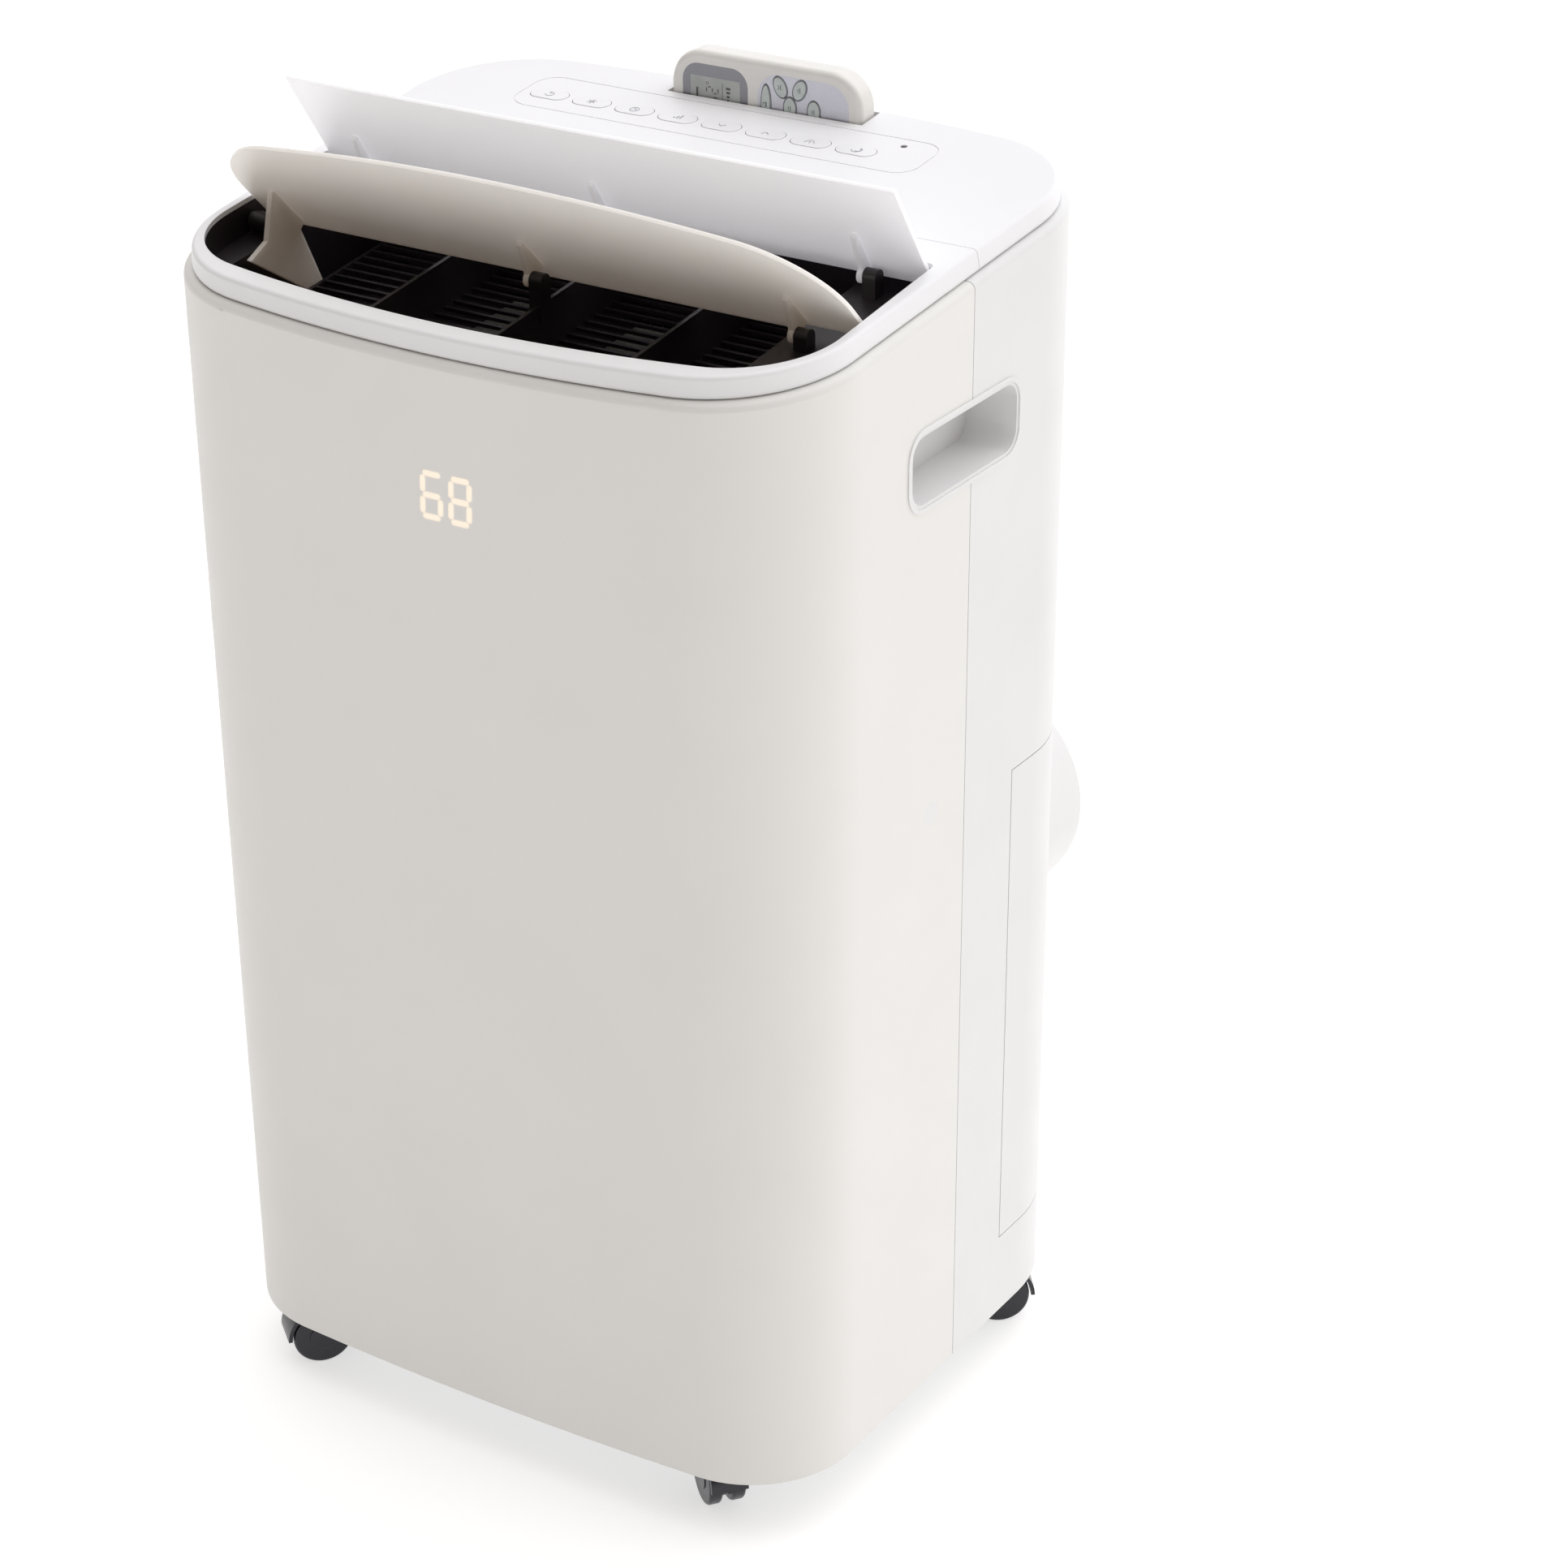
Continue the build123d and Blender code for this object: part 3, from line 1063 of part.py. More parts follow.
# three copper runs: suction, discharge and liquid
DISCHARGE_Z = 100.0
SUCTION_TOP_Z = 500.0
SUCTION_LOW_Z = 345.0
PIPE_RUNS = (
    (
        (ACCUMULATOR[0], ACCUMULATOR[1], ACCUMULATOR_Z[1]),
        (ACCUMULATOR[0], ACCUMULATOR[1], SUCTION_LOW_Z),
        (SUCTION_RISER[0], SUCTION_RISER[1], SUCTION_LOW_Z),
        (SUCTION_RISER[0], SUCTION_RISER[1], SUCTION_TOP_Z),
        (SUCTION_RISER[0], sum(COIL_Y) / 2, SUCTION_TOP_Z),
        (EVAPORATOR_X[1] + COIL_BEND, sum(COIL_Y) / 2, SUCTION_TOP_Z),
    ),
    (
        (COMPRESSOR[0] - COMPRESSOR_RADIUS, COMPRESSOR[1], DISCHARGE_Z),
        (ACCUMULATOR[0] - 10, COMPRESSOR[1], DISCHARGE_Z),
        (ACCUMULATOR[0] - 10, COIL_Y[0], DISCHARGE_Z),
    ),
    (
        (LIQUID_X, sum(COIL_Y) / 2, CONDENSER_Z[1]),
        (LIQUID_X, sum(COIL_Y) / 2, EVAPORATOR_Z[0]),
    ),
)

with BuildPart() as refrigerant_pipes:
    for run in PIPE_RUNS:
        with BuildLine() as route:
            if len(run) > 2:
                FilletPolyline(*run, radius=PIPE_BEND)
            else:
                Line(*run)
        with BuildSketch(Plane(run[0], z_dir=route.line % 0)):
            Circle(PIPE_RADIUS)
        sweep(path=route.line)
save(refrigerant_pipes, "refrigerant_pipes")

with BuildPart() as control_box:
    block(CONTROL_X, CONTROL_Y, CONTROL_Z)
    block(shrink(CONTROL_X, CONTROL_WALL), (CONTROL_Y[0] + CONTROL_WALL, REACH),
          shrink(CONTROL_Z, CONTROL_WALL), Mode.SUBTRACT)
save(control_box, "control_box")

with BuildPart() as control_board:
    block(shrink(CONTROL_X, 2 * CONTROL_WALL),
          (CONTROL_Y[0] + 6 * CONTROL_WALL, CONTROL_Y[0] + 6 * CONTROL_WALL + BOARD),
          shrink(CONTROL_Z, 2 * CONTROL_WALL))
save(control_board, "control_board")

with BuildPart() as display_board:
    with Locations((DISPLAY_X, DISPLAY_BOARD_Y, DISPLAY_Z)):
        Box(DISPLAY_BOARD[0], BOARD, DISPLAY_BOARD[1], align=(Align.CENTER, Align.MIN, Align.CENTER))
        Box(DISPLAY_DIGITS[0], DISPLAY_DIGITS_DEPTH, DISPLAY_DIGITS[1],
            align=(Align.CENTER, Align.MAX, Align.CENTER))
save(display_board, "display_board")

with BuildPart() as casing_screws:
    for screw_x, screw_z in SCREW_SPOTS:
        head_y = rear_surface_y(screw_x) - SCREW_SINK
        rear_bar(screw_x, screw_z, SCREW_RADIUS, rear_surface_y(screw_x) - WALL, head_y)
        rear_bar(screw_x, screw_z, SCREW_RADIUS / 2, head_y - SCREW_LENGTH, head_y)
        with BuildSketch(Plane.XZ.offset(-head_y)) as cross:
            with Locations((screw_x, screw_z)):
                Rectangle(SCREW_RADIUS, SCREW_RADIUS / 5)
                Rectangle(SCREW_RADIUS / 5, SCREW_RADIUS)
        extrude(cross.sketch, amount=SCREW_SINK / 2, mode=Mode.SUBTRACT)
save(casing_screws, "casing_screws")
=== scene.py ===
# %% [markdown]
# # A portable air conditioner, finished in Blender
#
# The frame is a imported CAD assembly: every casing half, flap, button, caster and
# working part is already in its real place and at its real size, in metres.
# This script gives each of them the finish of the real one, adds the small
# pieces that CAD leaves out, such as printed marks, filter screens and caster
# caps, and lights the whole like a catalogue shot.

# %% Load the frame
import bpy
from math import atan, cos, pi, radians, sin
from mathutils import Matrix, Vector


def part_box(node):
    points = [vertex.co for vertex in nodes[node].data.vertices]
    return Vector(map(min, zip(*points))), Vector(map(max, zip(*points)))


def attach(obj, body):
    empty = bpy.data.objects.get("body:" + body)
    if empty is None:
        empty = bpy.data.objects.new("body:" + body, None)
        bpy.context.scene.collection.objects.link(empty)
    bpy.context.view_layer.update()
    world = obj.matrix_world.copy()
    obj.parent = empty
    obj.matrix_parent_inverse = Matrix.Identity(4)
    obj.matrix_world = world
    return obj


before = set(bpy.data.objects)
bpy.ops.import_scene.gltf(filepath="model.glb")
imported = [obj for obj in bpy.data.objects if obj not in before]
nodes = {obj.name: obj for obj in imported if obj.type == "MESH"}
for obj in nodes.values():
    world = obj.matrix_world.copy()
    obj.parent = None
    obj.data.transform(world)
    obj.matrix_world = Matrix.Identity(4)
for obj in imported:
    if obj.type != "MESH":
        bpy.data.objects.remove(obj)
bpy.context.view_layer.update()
MM = 0.001

# %% [markdown]
# ## Camera
#
# A catalogue camera stands well back with a long lens, so that upright edges
# stay nearly upright. It looks down on the top and round to the right side,
# because that is where the outlet, the deck and the handle are. A camera can be
# aimed by a tracking constraint; here its place and turn are simply set.

# %% Camera
CAMERA_PLACE = (1.110648, -1.655999, 1.414091)
CAMERA_TURN = (62.6185, 0.1939, 31.3531)
CAMERA_LENS = 85.74

bpy.ops.object.camera_add(location=CAMERA_PLACE, rotation=[radians(a) for a in CAMERA_TURN])
camera = bpy.context.object
camera.name = "camera"
camera.data.lens = CAMERA_LENS
camera.data.sensor_width = 36.0
camera.data.clip_end = 50.0
bpy.context.scene.camera = camera
print("camera stands", round(camera.location.length, 2), "m from the origin")

# %% [markdown]
# ## Building materials from nodes
#
# Every finish below is made of the same few things: a Principled shader, the
# Object coordinates of the piece, and patterns whose scale comes from a real
# size in millimetres. Object coordinates are in metres here, so a noise with
# features of a given size has a scale of one over that size. One small
# function adds a node, sets it and links it, and each finish reads like a list.


# %% Colour and node helpers
WAVE_UNITS = 20  # a wave texture of scale 1 has 20 / (2 pi) stripes in one unit


def shade(code):
    """The linear colour that shaders use, from an sRGB hex code."""
    channels = [int(code[i:i + 2], 16) / 255 for i in (1, 3, 5)]
    return [c / 12.92 if c <= 0.04045 else ((c + 0.055) / 1.055) ** 2.4 for c in channels] + [1.0]


def add_node(tree, kind, values=None, **settings):
    """Add a shader node; values are numbers or other nodes' outputs, by input name or number."""
    node = tree.nodes.new("ShaderNode" + kind)
    for name, setting in settings.items():
        setattr(node, name, setting)
    for name, value in (values or {}).items():
        if isinstance(value, bpy.types.NodeSocket):
            tree.links.new(value, node.inputs[name])
        else:
            node.inputs[name].default_value = value
    return node


def new_finish(name, **sockets):
    """A material with its Principled shader's sockets set; returns it, its tree, shader and place."""
    material = bpy.data.materials.new(name)
    material.use_nodes = True
    tree = material.node_tree
    shader = tree.nodes["Principled BSDF"]
    for socket, value in sockets.items():
        shader.inputs[socket.replace("_", " ")].default_value = value
    place = add_node(tree, "TexCoord").outputs["Object"]
    return material, tree, shader, place


def noise(tree, place, size_mm, detail=2.0):
    """Soft noise from 0 to 1 whose features are about size_mm across."""
    values = {"Vector": place, "Scale": 1 / (size_mm * MM), "Detail": detail}
    return add_node(tree, "TexNoise", values).outputs["Fac"]


def paint(tree, shader, share, first, second):
    """Give the shader a base colour between two hex codes."""
    colour = blend_colours(tree, share, shade(first), shade(second))
    tree.links.new(colour, shader.inputs["Base Color"])


def waves(tree, place, pitch_mm, direction):
    """Even stripes across one axis, one for each pitch."""
    values = {"Vector": place, "Scale": 2 * pi / (WAVE_UNITS * pitch_mm * MM), "Distortion": 0.0}
    return add_node(tree, "TexWave", values, bands_direction=direction).outputs["Fac"]


def brick_lines(tree, place, length_mm, height_mm, line_mm):
    """The lines between rows of bricks of that size."""
    values = {"Vector": place, "Scale": 1.0, "Brick Width": length_mm * MM, "Row Height": height_mm * MM}
    values["Mortar Size"] = line_mm * MM
    return add_node(tree, "TexBrick", values).outputs["Fac"]


def glow_faintly(material, code, strength):
    """Light that comes through thin plastic from behind, as a faint emission."""
    shader = material.node_tree.nodes["Principled BSDF"]
    shader.inputs["Emission Color"].default_value = shade(code)
    shader.inputs["Emission Strength"].default_value = strength


def spread(tree, value, low, high, to_low, to_high):
    """Stretch a value from one range to another, held within it."""
    return add_node(tree, "MapRange", {0: value, 1: low, 2: high, 3: to_low, 4: to_high}).outputs[0]


def blend_colours(tree, share, first, second):
    """A colour between two, by a share from 0 to 1."""
    return add_node(tree, "Mix", {0: share, 6: first, 7: second}, data_type="RGBA").outputs[2]


def roughen(tree, shader, height, depth_mm, before=None):
    """Give the surface a relief of that real depth from a height pattern."""
    values = {"Height": height, "Distance": depth_mm * MM, "Strength": 1.0}
    if before is not None:
        values["Normal"] = before
    bump = add_node(tree, "Bump", values).outputs[0]
    tree.links.new(bump, shader.inputs["Normal"])
    return bump


print("helpers ready, mid grey is", round(shade("#808080")[0], 3), "in linear light")

# %% [markdown]
# ## Moulded plastics
#
# The shell is ABS, moulded in a tool that was spark-eroded to a fine matt
# grain. The grain is some 0.4 mm from peak to peak and a hundredth of that
# deep; it is drawn at 1.2 mm so that it shows at all. What the eye reads first
# is broader: moulded plastic is never quite one colour, its gloss drifts a
# little where the melt flowed, and large flat walls sink very slightly.


# %% Moulded ABS and polypropylene
def moulded(name, light, dark, roughness, grain_mm=1.2, grain_depth=0.012, coat=0.0, glow_through=0.0):
    """A moulded plastic between two near colours, with grain, drift in gloss and faint sink."""
    material, tree, shader, place = new_finish(name, IOR=1.53, Coat_Weight=coat, Coat_Roughness=0.12)
    shader.inputs["Subsurface Weight"].default_value = glow_through
    shader.inputs["Subsurface Radius"].default_value = (1.0, 1.0, 1.0)
    shader.inputs["Subsurface Scale"].default_value = 5 * MM
    drift = noise(tree, place, 70, 3)
    colour = blend_colours(tree, spread(tree, drift, 0.3, 0.7, 0, 1), shade(dark), shade(light))
    tree.links.new(colour, shader.inputs["Base Color"])
    flow = noise(tree, place, 28, 2)
    gloss = spread(tree, flow, 0.25, 0.75, roughness - 0.05, roughness + 0.06)
    tree.links.new(gloss, shader.inputs["Roughness"])
    sink = roughen(tree, shader, noise(tree, place, 120, 1), 0.04)
    roughen(tree, shader, noise(tree, place, grain_mm, 2), grain_depth, sink)
    return material


casing_abs = moulded("casing_abs", "#E9E9E9", "#E6E6E6", 0.42)
deck_abs = moulded("deck_abs", "#F2F2F4", "#F0F0F2", 0.38)
flap_abs = moulded("flap_abs", "#F1EEE9", "#EFEBE5", 0.36, glow_through=0.8)
glow_faintly(flap_abs, "#FFDDBD", 0.045)
rear_flap_abs = moulded("rear_flap_abs", "#F0F0F2", "#EDEDF0", 0.36, glow_through=0.8)
glow_faintly(rear_flap_abs, "#E9E9F2", 0.16)
button_abs = moulded("button_abs", "#F1F1F4", "#EDEDF0", 0.30, grain_mm=0.9, grain_depth=0.006)
collar_abs = moulded("collar_abs", "#EEEEEE", "#E8E8E8", 0.40)
duct_pp = moulded("duct_polypropylene", "#2C252A", "#1F1A1E", 0.36, grain_depth=0.02)
fitting_pp = moulded("fitting_polypropylene", "#2B2B2E", "#1E1E21", 0.45, grain_depth=0.02)
scroll_ps = moulded("scroll_polystyrene", "#C9C9C6", "#BDBDB9", 0.50)
caster_nylon = moulded("caster_nylon", "#1C1C2A", "#14141F", 0.28, grain_depth=0.01)
print("moulded finishes:", len(bpy.data.materials))

# %% [markdown]
# ## The front panel and its glow
#
# The temperature shows as two seven-segment digits that shine through the
# white front wall from the display board behind it. There is no window: the
# wall is simply thinner there, so the digits have soft edges. They could be
# thin glowing tiles, but tiles would have hard edges, so the wall's own
# material measures how far each point is from the nearest segment.

# %% Seven-segment digits
# each segment's place in half widths and quarter heights, and whether it lies flat
SEGMENTS = {
    "a": (0, 2, 1), "b": (1, 1, 0), "c": (1, -1, 0), "d": (0, -2, 1),
    "e": (-1, -1, 0), "f": (-1, 1, 0), "g": (0, 0, 1),
}
FLAT_REACH = 0.34
UPRIGHT_REACH = 0.78
DIGITS = {"2": "abged", "6": "acdefg", "8": "abcdefg"}


def digit_bars(digit, centre, size):
    """The bars of one digit: each is (x, z, half its length along x, half its length along z)."""
    across, tall = size
    reach = FLAT_REACH * across
    return [
        (
            centre[0] + i * across / 2, centre[1] + j * tall / 4,
            reach * flat, (UPRIGHT_REACH * reach) * (1 - flat),
        )
        for i, j, flat in (SEGMENTS[name] for name in DIGITS[digit])
    ]


DISPLAY_CENTRE = (9.0, 641.5)
DIGIT_PITCH = 18.4
DIGIT_SIZE = (11.6, 25.0)
DISPLAY_BARS = digit_bars("6", (DISPLAY_CENTRE[0] - DIGIT_PITCH / 2, DISPLAY_CENTRE[1]), DIGIT_SIZE)
DISPLAY_BARS += digit_bars("8", (DISPLAY_CENTRE[0] + DIGIT_PITCH / 2, DISPLAY_CENTRE[1]), DIGIT_SIZE)
print("display bars:", len(DISPLAY_BARS))

# %% Front panel ABS with the display shining through
DIGIT_LEAN = 0.06
DISPLAY_GLOW = 0.30
BAR_EDGE = (1.0 * MM, 2.4 * MM)

front_abs = moulded("front_panel_abs", "#EBEAE7", "#E9E8E5", 0.42)
tree = front_abs.node_tree
shader = tree.nodes["Principled BSDF"]
place = add_node(tree, "TexCoord").outputs["Object"]
axes = add_node(tree, "SeparateXYZ", {0: place})
rise = add_node(tree, "Math", {0: axes.outputs["Z"], 1: DISPLAY_CENTRE[1] * MM}, operation="SUBTRACT")
lean = add_node(tree, "Math", {0: rise.outputs[0], 1: DIGIT_LEAN}, operation="MULTIPLY")
upright_x = add_node(tree, "Math", {0: axes.outputs["X"], 1: lean.outputs[0]}, operation="SUBTRACT")
point = add_node(tree, "CombineXYZ", {"X": upright_x.outputs[0], "Z": axes.outputs["Z"]}).outputs[0]
nearest = None
for x, z, half_x, half_z in DISPLAY_BARS:
    offset = add_node(tree, "VectorMath", {0: point, 1: (x * MM, 0, z * MM)}, operation="SUBTRACT")
    away = add_node(tree, "VectorMath", {0: offset.outputs[0]}, operation="ABSOLUTE")
    half = (half_x * MM, 0, half_z * MM)
    beyond = add_node(tree, "VectorMath", {0: away.outputs[0], 1: half}, operation="SUBTRACT")
    held = add_node(tree, "VectorMath", {0: beyond.outputs[0], 1: (0, 0, 0)}, operation="MAXIMUM")
    distance = add_node(tree, "VectorMath", {0: held.outputs[0]}, operation="LENGTH").outputs["Value"]
    if nearest is None:
        nearest = distance
    else:
        nearest = add_node(tree, "Math", {0: nearest, 1: distance}, operation="MINIMUM").outputs[0]
edge = {0: nearest, 1: BAR_EDGE[0], 2: BAR_EDGE[1], 3: 1.0, 4: 0.0}
glow = add_node(tree, "MapRange", edge, interpolation_type="SMOOTHSTEP").outputs[0]
wall_colour = shader.inputs["Base Color"].links[0].from_socket
tree.links.new(blend_colours(tree, glow, wall_colour, shade("#FBF1E2")), shader.inputs["Base Color"])
tree.links.new(blend_colours(tree, glow, shade("#000000"), shade("#FFE7C8")), shader.inputs["Emission Color"])
shader.inputs["Emission Strength"].default_value = DISPLAY_GLOW
print("front panel nodes:", len(tree.nodes))

# %% [markdown]
# ## Metals, boards and rubber of the working parts
#
# Behind the louvres the coils are stacks of thin aluminium fins, 1.4 mm apart
# on the real thing; they are drawn at 2.2 mm so that they show. The base pan
# is galvanised sheet with its cloudy spangle, the compressor is black enamel,
# and the pipes are drawn copper that has started to darken.


# %% Coil fins, sheet steel, enamel, copper, boards and rubber
def finned_aluminium():
    """Aluminium fins in planes across X, with painted shade in the gaps between them."""
    material, tree, shader, place = new_finish("fin_aluminium", Metallic=0.85, Roughness=0.38)
    fins_and_gap_shade = spread(tree, waves(tree, place, 2.2, "X"), 0.35, 0.75, 0, 1)
    dust = spread(tree, noise(tree, place, 25, 3), 0.45, 0.75, 0, 0.25)
    bright = blend_colours(tree, dust, shade("#C9CDD1"), shade("#A9A8A2"))
    # painted shade: the gaps between the fins are coloured dark grey, for the shade that falls between them
    tree.links.new(blend_colours(tree, fins_and_gap_shade, shade("#3A3C3F"), bright), shader.inputs["Base Color"])
    roughen(tree, shader, fins_and_gap_shade, 0.4)
    return material


def sheet_metal(name, light, dark, roughness, spangle_mm):
    """Coated sheet whose crystals are each a slightly different grey."""
    material, tree, shader, place = new_finish(name, Metallic=0.9)
    cells = add_node(tree, "TexVoronoi", {"Vector": place, "Scale": 1 / (spangle_mm * MM)})
    share = spread(tree, cells.outputs["Color"], 0, 1, 0, 1)
    paint(tree, shader, share, dark, light)
    rough = spread(tree, noise(tree, place, 9, 2), 0.3, 0.7, roughness - 0.06, roughness + 0.08)
    tree.links.new(rough, shader.inputs["Roughness"])
    return material


def enamel(name, colour, wear, roughness):
    """Sprayed enamel with orange peel and a little dust."""
    material, tree, shader, place = new_finish(name, Roughness=roughness, Coat_Weight=0.3, Coat_Roughness=0.2)
    dust = spread(tree, noise(tree, place, 35, 4), 0.5, 0.8, 0, 0.4)
    paint(tree, shader, dust, colour, wear)
    roughen(tree, shader, noise(tree, place, 2.5, 1), 0.03)
    return material


def drawn_copper():
    """Copper tube, warm where it is clean and brown where it has been handled."""
    material, tree, shader, place = new_finish("drawn_copper", Metallic=1.0)
    tarnish = spread(tree, noise(tree, place, 18, 4), 0.35, 0.7, 0, 1)
    paint(tree, shader, tarnish, "#D98E63", "#8C5238")
    tree.links.new(spread(tree, tarnish, 0, 1, 0.22, 0.45), shader.inputs["Roughness"])
    return material


def circuit_board():
    """Green solder mask with paler copper tracks under it, 1.6 mm apart."""
    material, tree, shader, place = new_finish("circuit_board", Roughness=0.30, Coat_Weight=0.4)
    share = brick_lines(tree, place, 6.4, 1.6, 0.25)
    paint(tree, shader, share, "#1E5B36", "#2F7A4A")
    roughen(tree, shader, share, 0.03)
    return material


fin_aluminium = finned_aluminium()
galvanised_steel = sheet_metal("galvanised_steel", "#B9BCBE", "#94989B", 0.42, 7)
zinc_plated_steel = sheet_metal("zinc_plated_steel", "#C4C4C2", "#A8A8A6", 0.28, 1.5)
black_enamel = enamel("black_enamel", "#141415", "#4A4844", 0.35)
mount_rubber = enamel("moulded_rubber", "#1A1A1A", "#2C2B2A", 0.75)
copper = drawn_copper()
board_green = circuit_board()
print("finishes so far:", len(bpy.data.materials))

# %% [markdown]
# ## Finishes of the remote control
#
# The remote is gloss white ABS. Its bezel and key field are painted silver
# with a lilac cast: a metallic paint is a base with small flakes, each tilted
# its own way, so it glitters slightly. The keys are silicone rubber, which is
# matt, and pale green where the light sinks into it. The LCD is a grey-green
# film behind a clear window.


# %% Remote control: gloss ABS, metallic paint, silicone and LCD
def flake_paint(name, base, tint, flake_mm=0.5):
    """Metallic paint under a clear lacquer; it is darker round the screen than round the keys."""
    material, tree, shader, place = new_finish(name, Metallic=0.55, Coat_Weight=0.5, Coat_Roughness=0.15)
    flakes = add_node(tree, "TexVoronoi", {"Vector": place, "Scale": 1 / (flake_mm * MM)})
    share = spread(tree, flakes.outputs["Color"], 0, 1, 0, 1)
    east = add_node(tree, "SeparateXYZ", {0: place}).outputs["X"]
    on_keys = spread(tree, east, -9 * MM, -8 * MM, 0, 1)
    first = blend_colours(tree, on_keys, shade("#85858A"), shade(base))
    second = blend_colours(tree, on_keys, shade("#8E8E93"), shade(tint))
    tree.links.new(blend_colours(tree, share, first, second), shader.inputs["Base Color"])
    tree.links.new(spread(tree, share, 0, 1, 0.30, 0.42), shader.inputs["Roughness"])
    return material


def silicone(name, light, dark):
    """Matt silicone rubber with a little light under the skin."""
    material, tree, shader, place = new_finish(name, Roughness=0.55, IOR=1.42, Subsurface_Weight=0.15)
    shader.inputs["Subsurface Radius"].default_value = (1.0 * MM, 1.2 * MM, 1.0 * MM)
    soft = spread(tree, noise(tree, place, 5, 2), 0.3, 0.7, 0, 1)
    paint(tree, shader, soft, dark, light)
    roughen(tree, shader, noise(tree, place, 0.8, 2), 0.01)
    return material


def liquid_crystal():
    """The LCD's grey-green rear film, cloudy in tone, under clear plastic."""
    gloss = {"Roughness": 0.18, "Coat_Weight": 0.6, "Coat_Roughness": 0.05}
    material, tree, shader, place = new_finish("lcd_film", **gloss)
    cloud = spread(tree, noise(tree, place, 14, 2), 0.3, 0.7, 0, 1)
    paint(tree, shader, cloud, "#A4A8A5", "#B4B8B5")
    return material


remote_abs = moulded("remote_gloss_abs", "#EDEBE6", "#E6E4DF", 0.22, grain_depth=0.002, coat=0.3)
silver_paint = flake_paint("silver_paint", "#C6C6CE", "#D2D2DA")
key_silicone = silicone("key_silicone", "#D3DBD8", "#C4CDCA")
lcd_film = liquid_crystal()
print("finishes in all:", len(bpy.data.materials))

# %% [markdown]
# ## Painting the CAD pieces
#
# A CAD piece whose shape is right keeps its mesh and only takes a finish. Each
# group below is a real batch of parts, moulded or made from one material.

# %% Give every CAD node its finish
BUTTON_NAMES = ("power", "mode", "timer", "speed", "down", "up", "swing", "sleep")
FINISHES = (
    (front_abs, "front_casing"),
    (casing_abs, "rear_casing lower_panel upper_filter_door side_handles side_plugs"),
    (deck_abs, "top_bezel top_deck"),
    (flap_abs, "front_flap"),
    (rear_flap_abs, "rear_flap"),
    (button_abs, " ".join(f"button_{name}" for name in BUTTON_NAMES)),
    (collar_abs, "hose_collar drain_spouts"),
    (duct_pp, "outlet_duct swing_motors"),
    (fitting_pp, "cord_gland drain_cap_upper drain_cap_lower"),
    (scroll_ps, "drain_tray upper_scroll lower_scroll blower_wheel_upper blower_wheel_lower"),
    (galvanised_steel, "base_pan control_box"),
    (zinc_plated_steel, "fan_motors casing_screws"),
    (fin_aluminium, "evaporator_coil condenser_coil"),
    (black_enamel, "compressor"),
    (mount_rubber, "compressor_mounts"),
    (copper, "refrigerant_pipes"),
    (board_green, "display_board control_board button_board"),
    (remote_abs, "remote_case"),
    (silver_paint, "remote_plates"),
    (lcd_film, "remote_lcd"),
    (key_silicone, "key_power key_up key_down key_mode key_fan key_timer key_units"),
    (caster_nylon, " ".join(f"caster_{part}_{corner}" for part in ("frame", "wheels")
                            for corner in ("front_left", "front_right", "rear_left", "rear_right"))),
)

painted = set()
for finish, names in FINISHES:
    for name in names.split():
        nodes[name].data.materials.clear()
        nodes[name].data.materials.append(finish)
        painted.add(name)
print("painted", len(painted), "of", len(nodes), "nodes; left:", sorted(set(nodes) - painted))

# %% [markdown]
# ## Small pieces that CAD leaves out
#
# Printed marks, the lips of the handles, filter screens, a sensor lens and the
# gland's nut are made here. Each starts as a simple mesh and is shaped by
# edit-mode tools. The marks could be an image texture, but a thin raised piece
# stays sharp at every distance, and it can ride on its own key. The marks are
# plain generic signs.

# %% Helpers that draw on a plane
TOP_SLOPE = atan(0.0964)
SHOULDER_Z = 737.4
COVER_RISE = 13.0
RIM_MIDDLE_Z = SHOULDER_Z + COVER_RISE / cos(TOP_SLOPE)
REMOTE_FACE_Y = 141.0
REMOTE_MIDDLE_Z = 766.0
BUTTON_PROUD = 0.3
KEY_PROUD = 0.8
PRINT = 0.14
SCREEN_PRINT = 0.06
KEY_PRINT = 0.08
TOP_PLANE = Matrix(((1, 0, 0, 0), (0, cos(TOP_SLOPE), -sin(TOP_SLOPE), 0),
                    (0, sin(TOP_SLOPE), cos(TOP_SLOPE), RIM_MIDDLE_Z * MM), (0, 0, 0, 1)))
# the remote stands on its long side: its own right is up, and its own up is towards -X
REMOTE_PLANE = Matrix(((0, -1, 0, 0), (0, 0, -1, REMOTE_FACE_Y * MM),
                       (1, 0, 0, REMOTE_MIDDLE_Z * MM), (0, 0, 0, 1)))


def settle(place):
    """Put the active object's mesh in place, so that its own origin stays at zero and unturned."""
    bpy.context.object.matrix_world = place
    bpy.ops.object.transform_apply(location=True, rotation=True, scale=True)


def edit_all():
    """Start editing the active object with everything selected."""
    bpy.ops.object.mode_set(mode="EDIT")
    bpy.ops.mesh.select_all(action="SELECT")


def new_mesh(add, **sizes):
    """A fresh starting mesh with nothing else selected."""
    bpy.ops.object.select_all(action="DESELECT")
    add(**sizes)
    return bpy.context.object


def bar(plane, x, y, length, width, turn=0.0, height=PRINT):
    """A flat bar with softened edges, standing on a plane; millimetres and degrees."""
    piece = new_mesh(bpy.ops.mesh.primitive_cube_add, size=1)
    size = Matrix.Diagonal((length * MM, width * MM, height * MM, 1))
    turned = Matrix.Translation((x * MM, y * MM, height / 2 * MM)) @ Matrix.Rotation(radians(turn), 4, "Z")
    settle(turned @ size)
    edit_all()
    bpy.ops.mesh.bevel(offset=height / 4 * MM, segments=2)
    bpy.ops.object.mode_set(mode="OBJECT")
    settle(plane)
    return piece


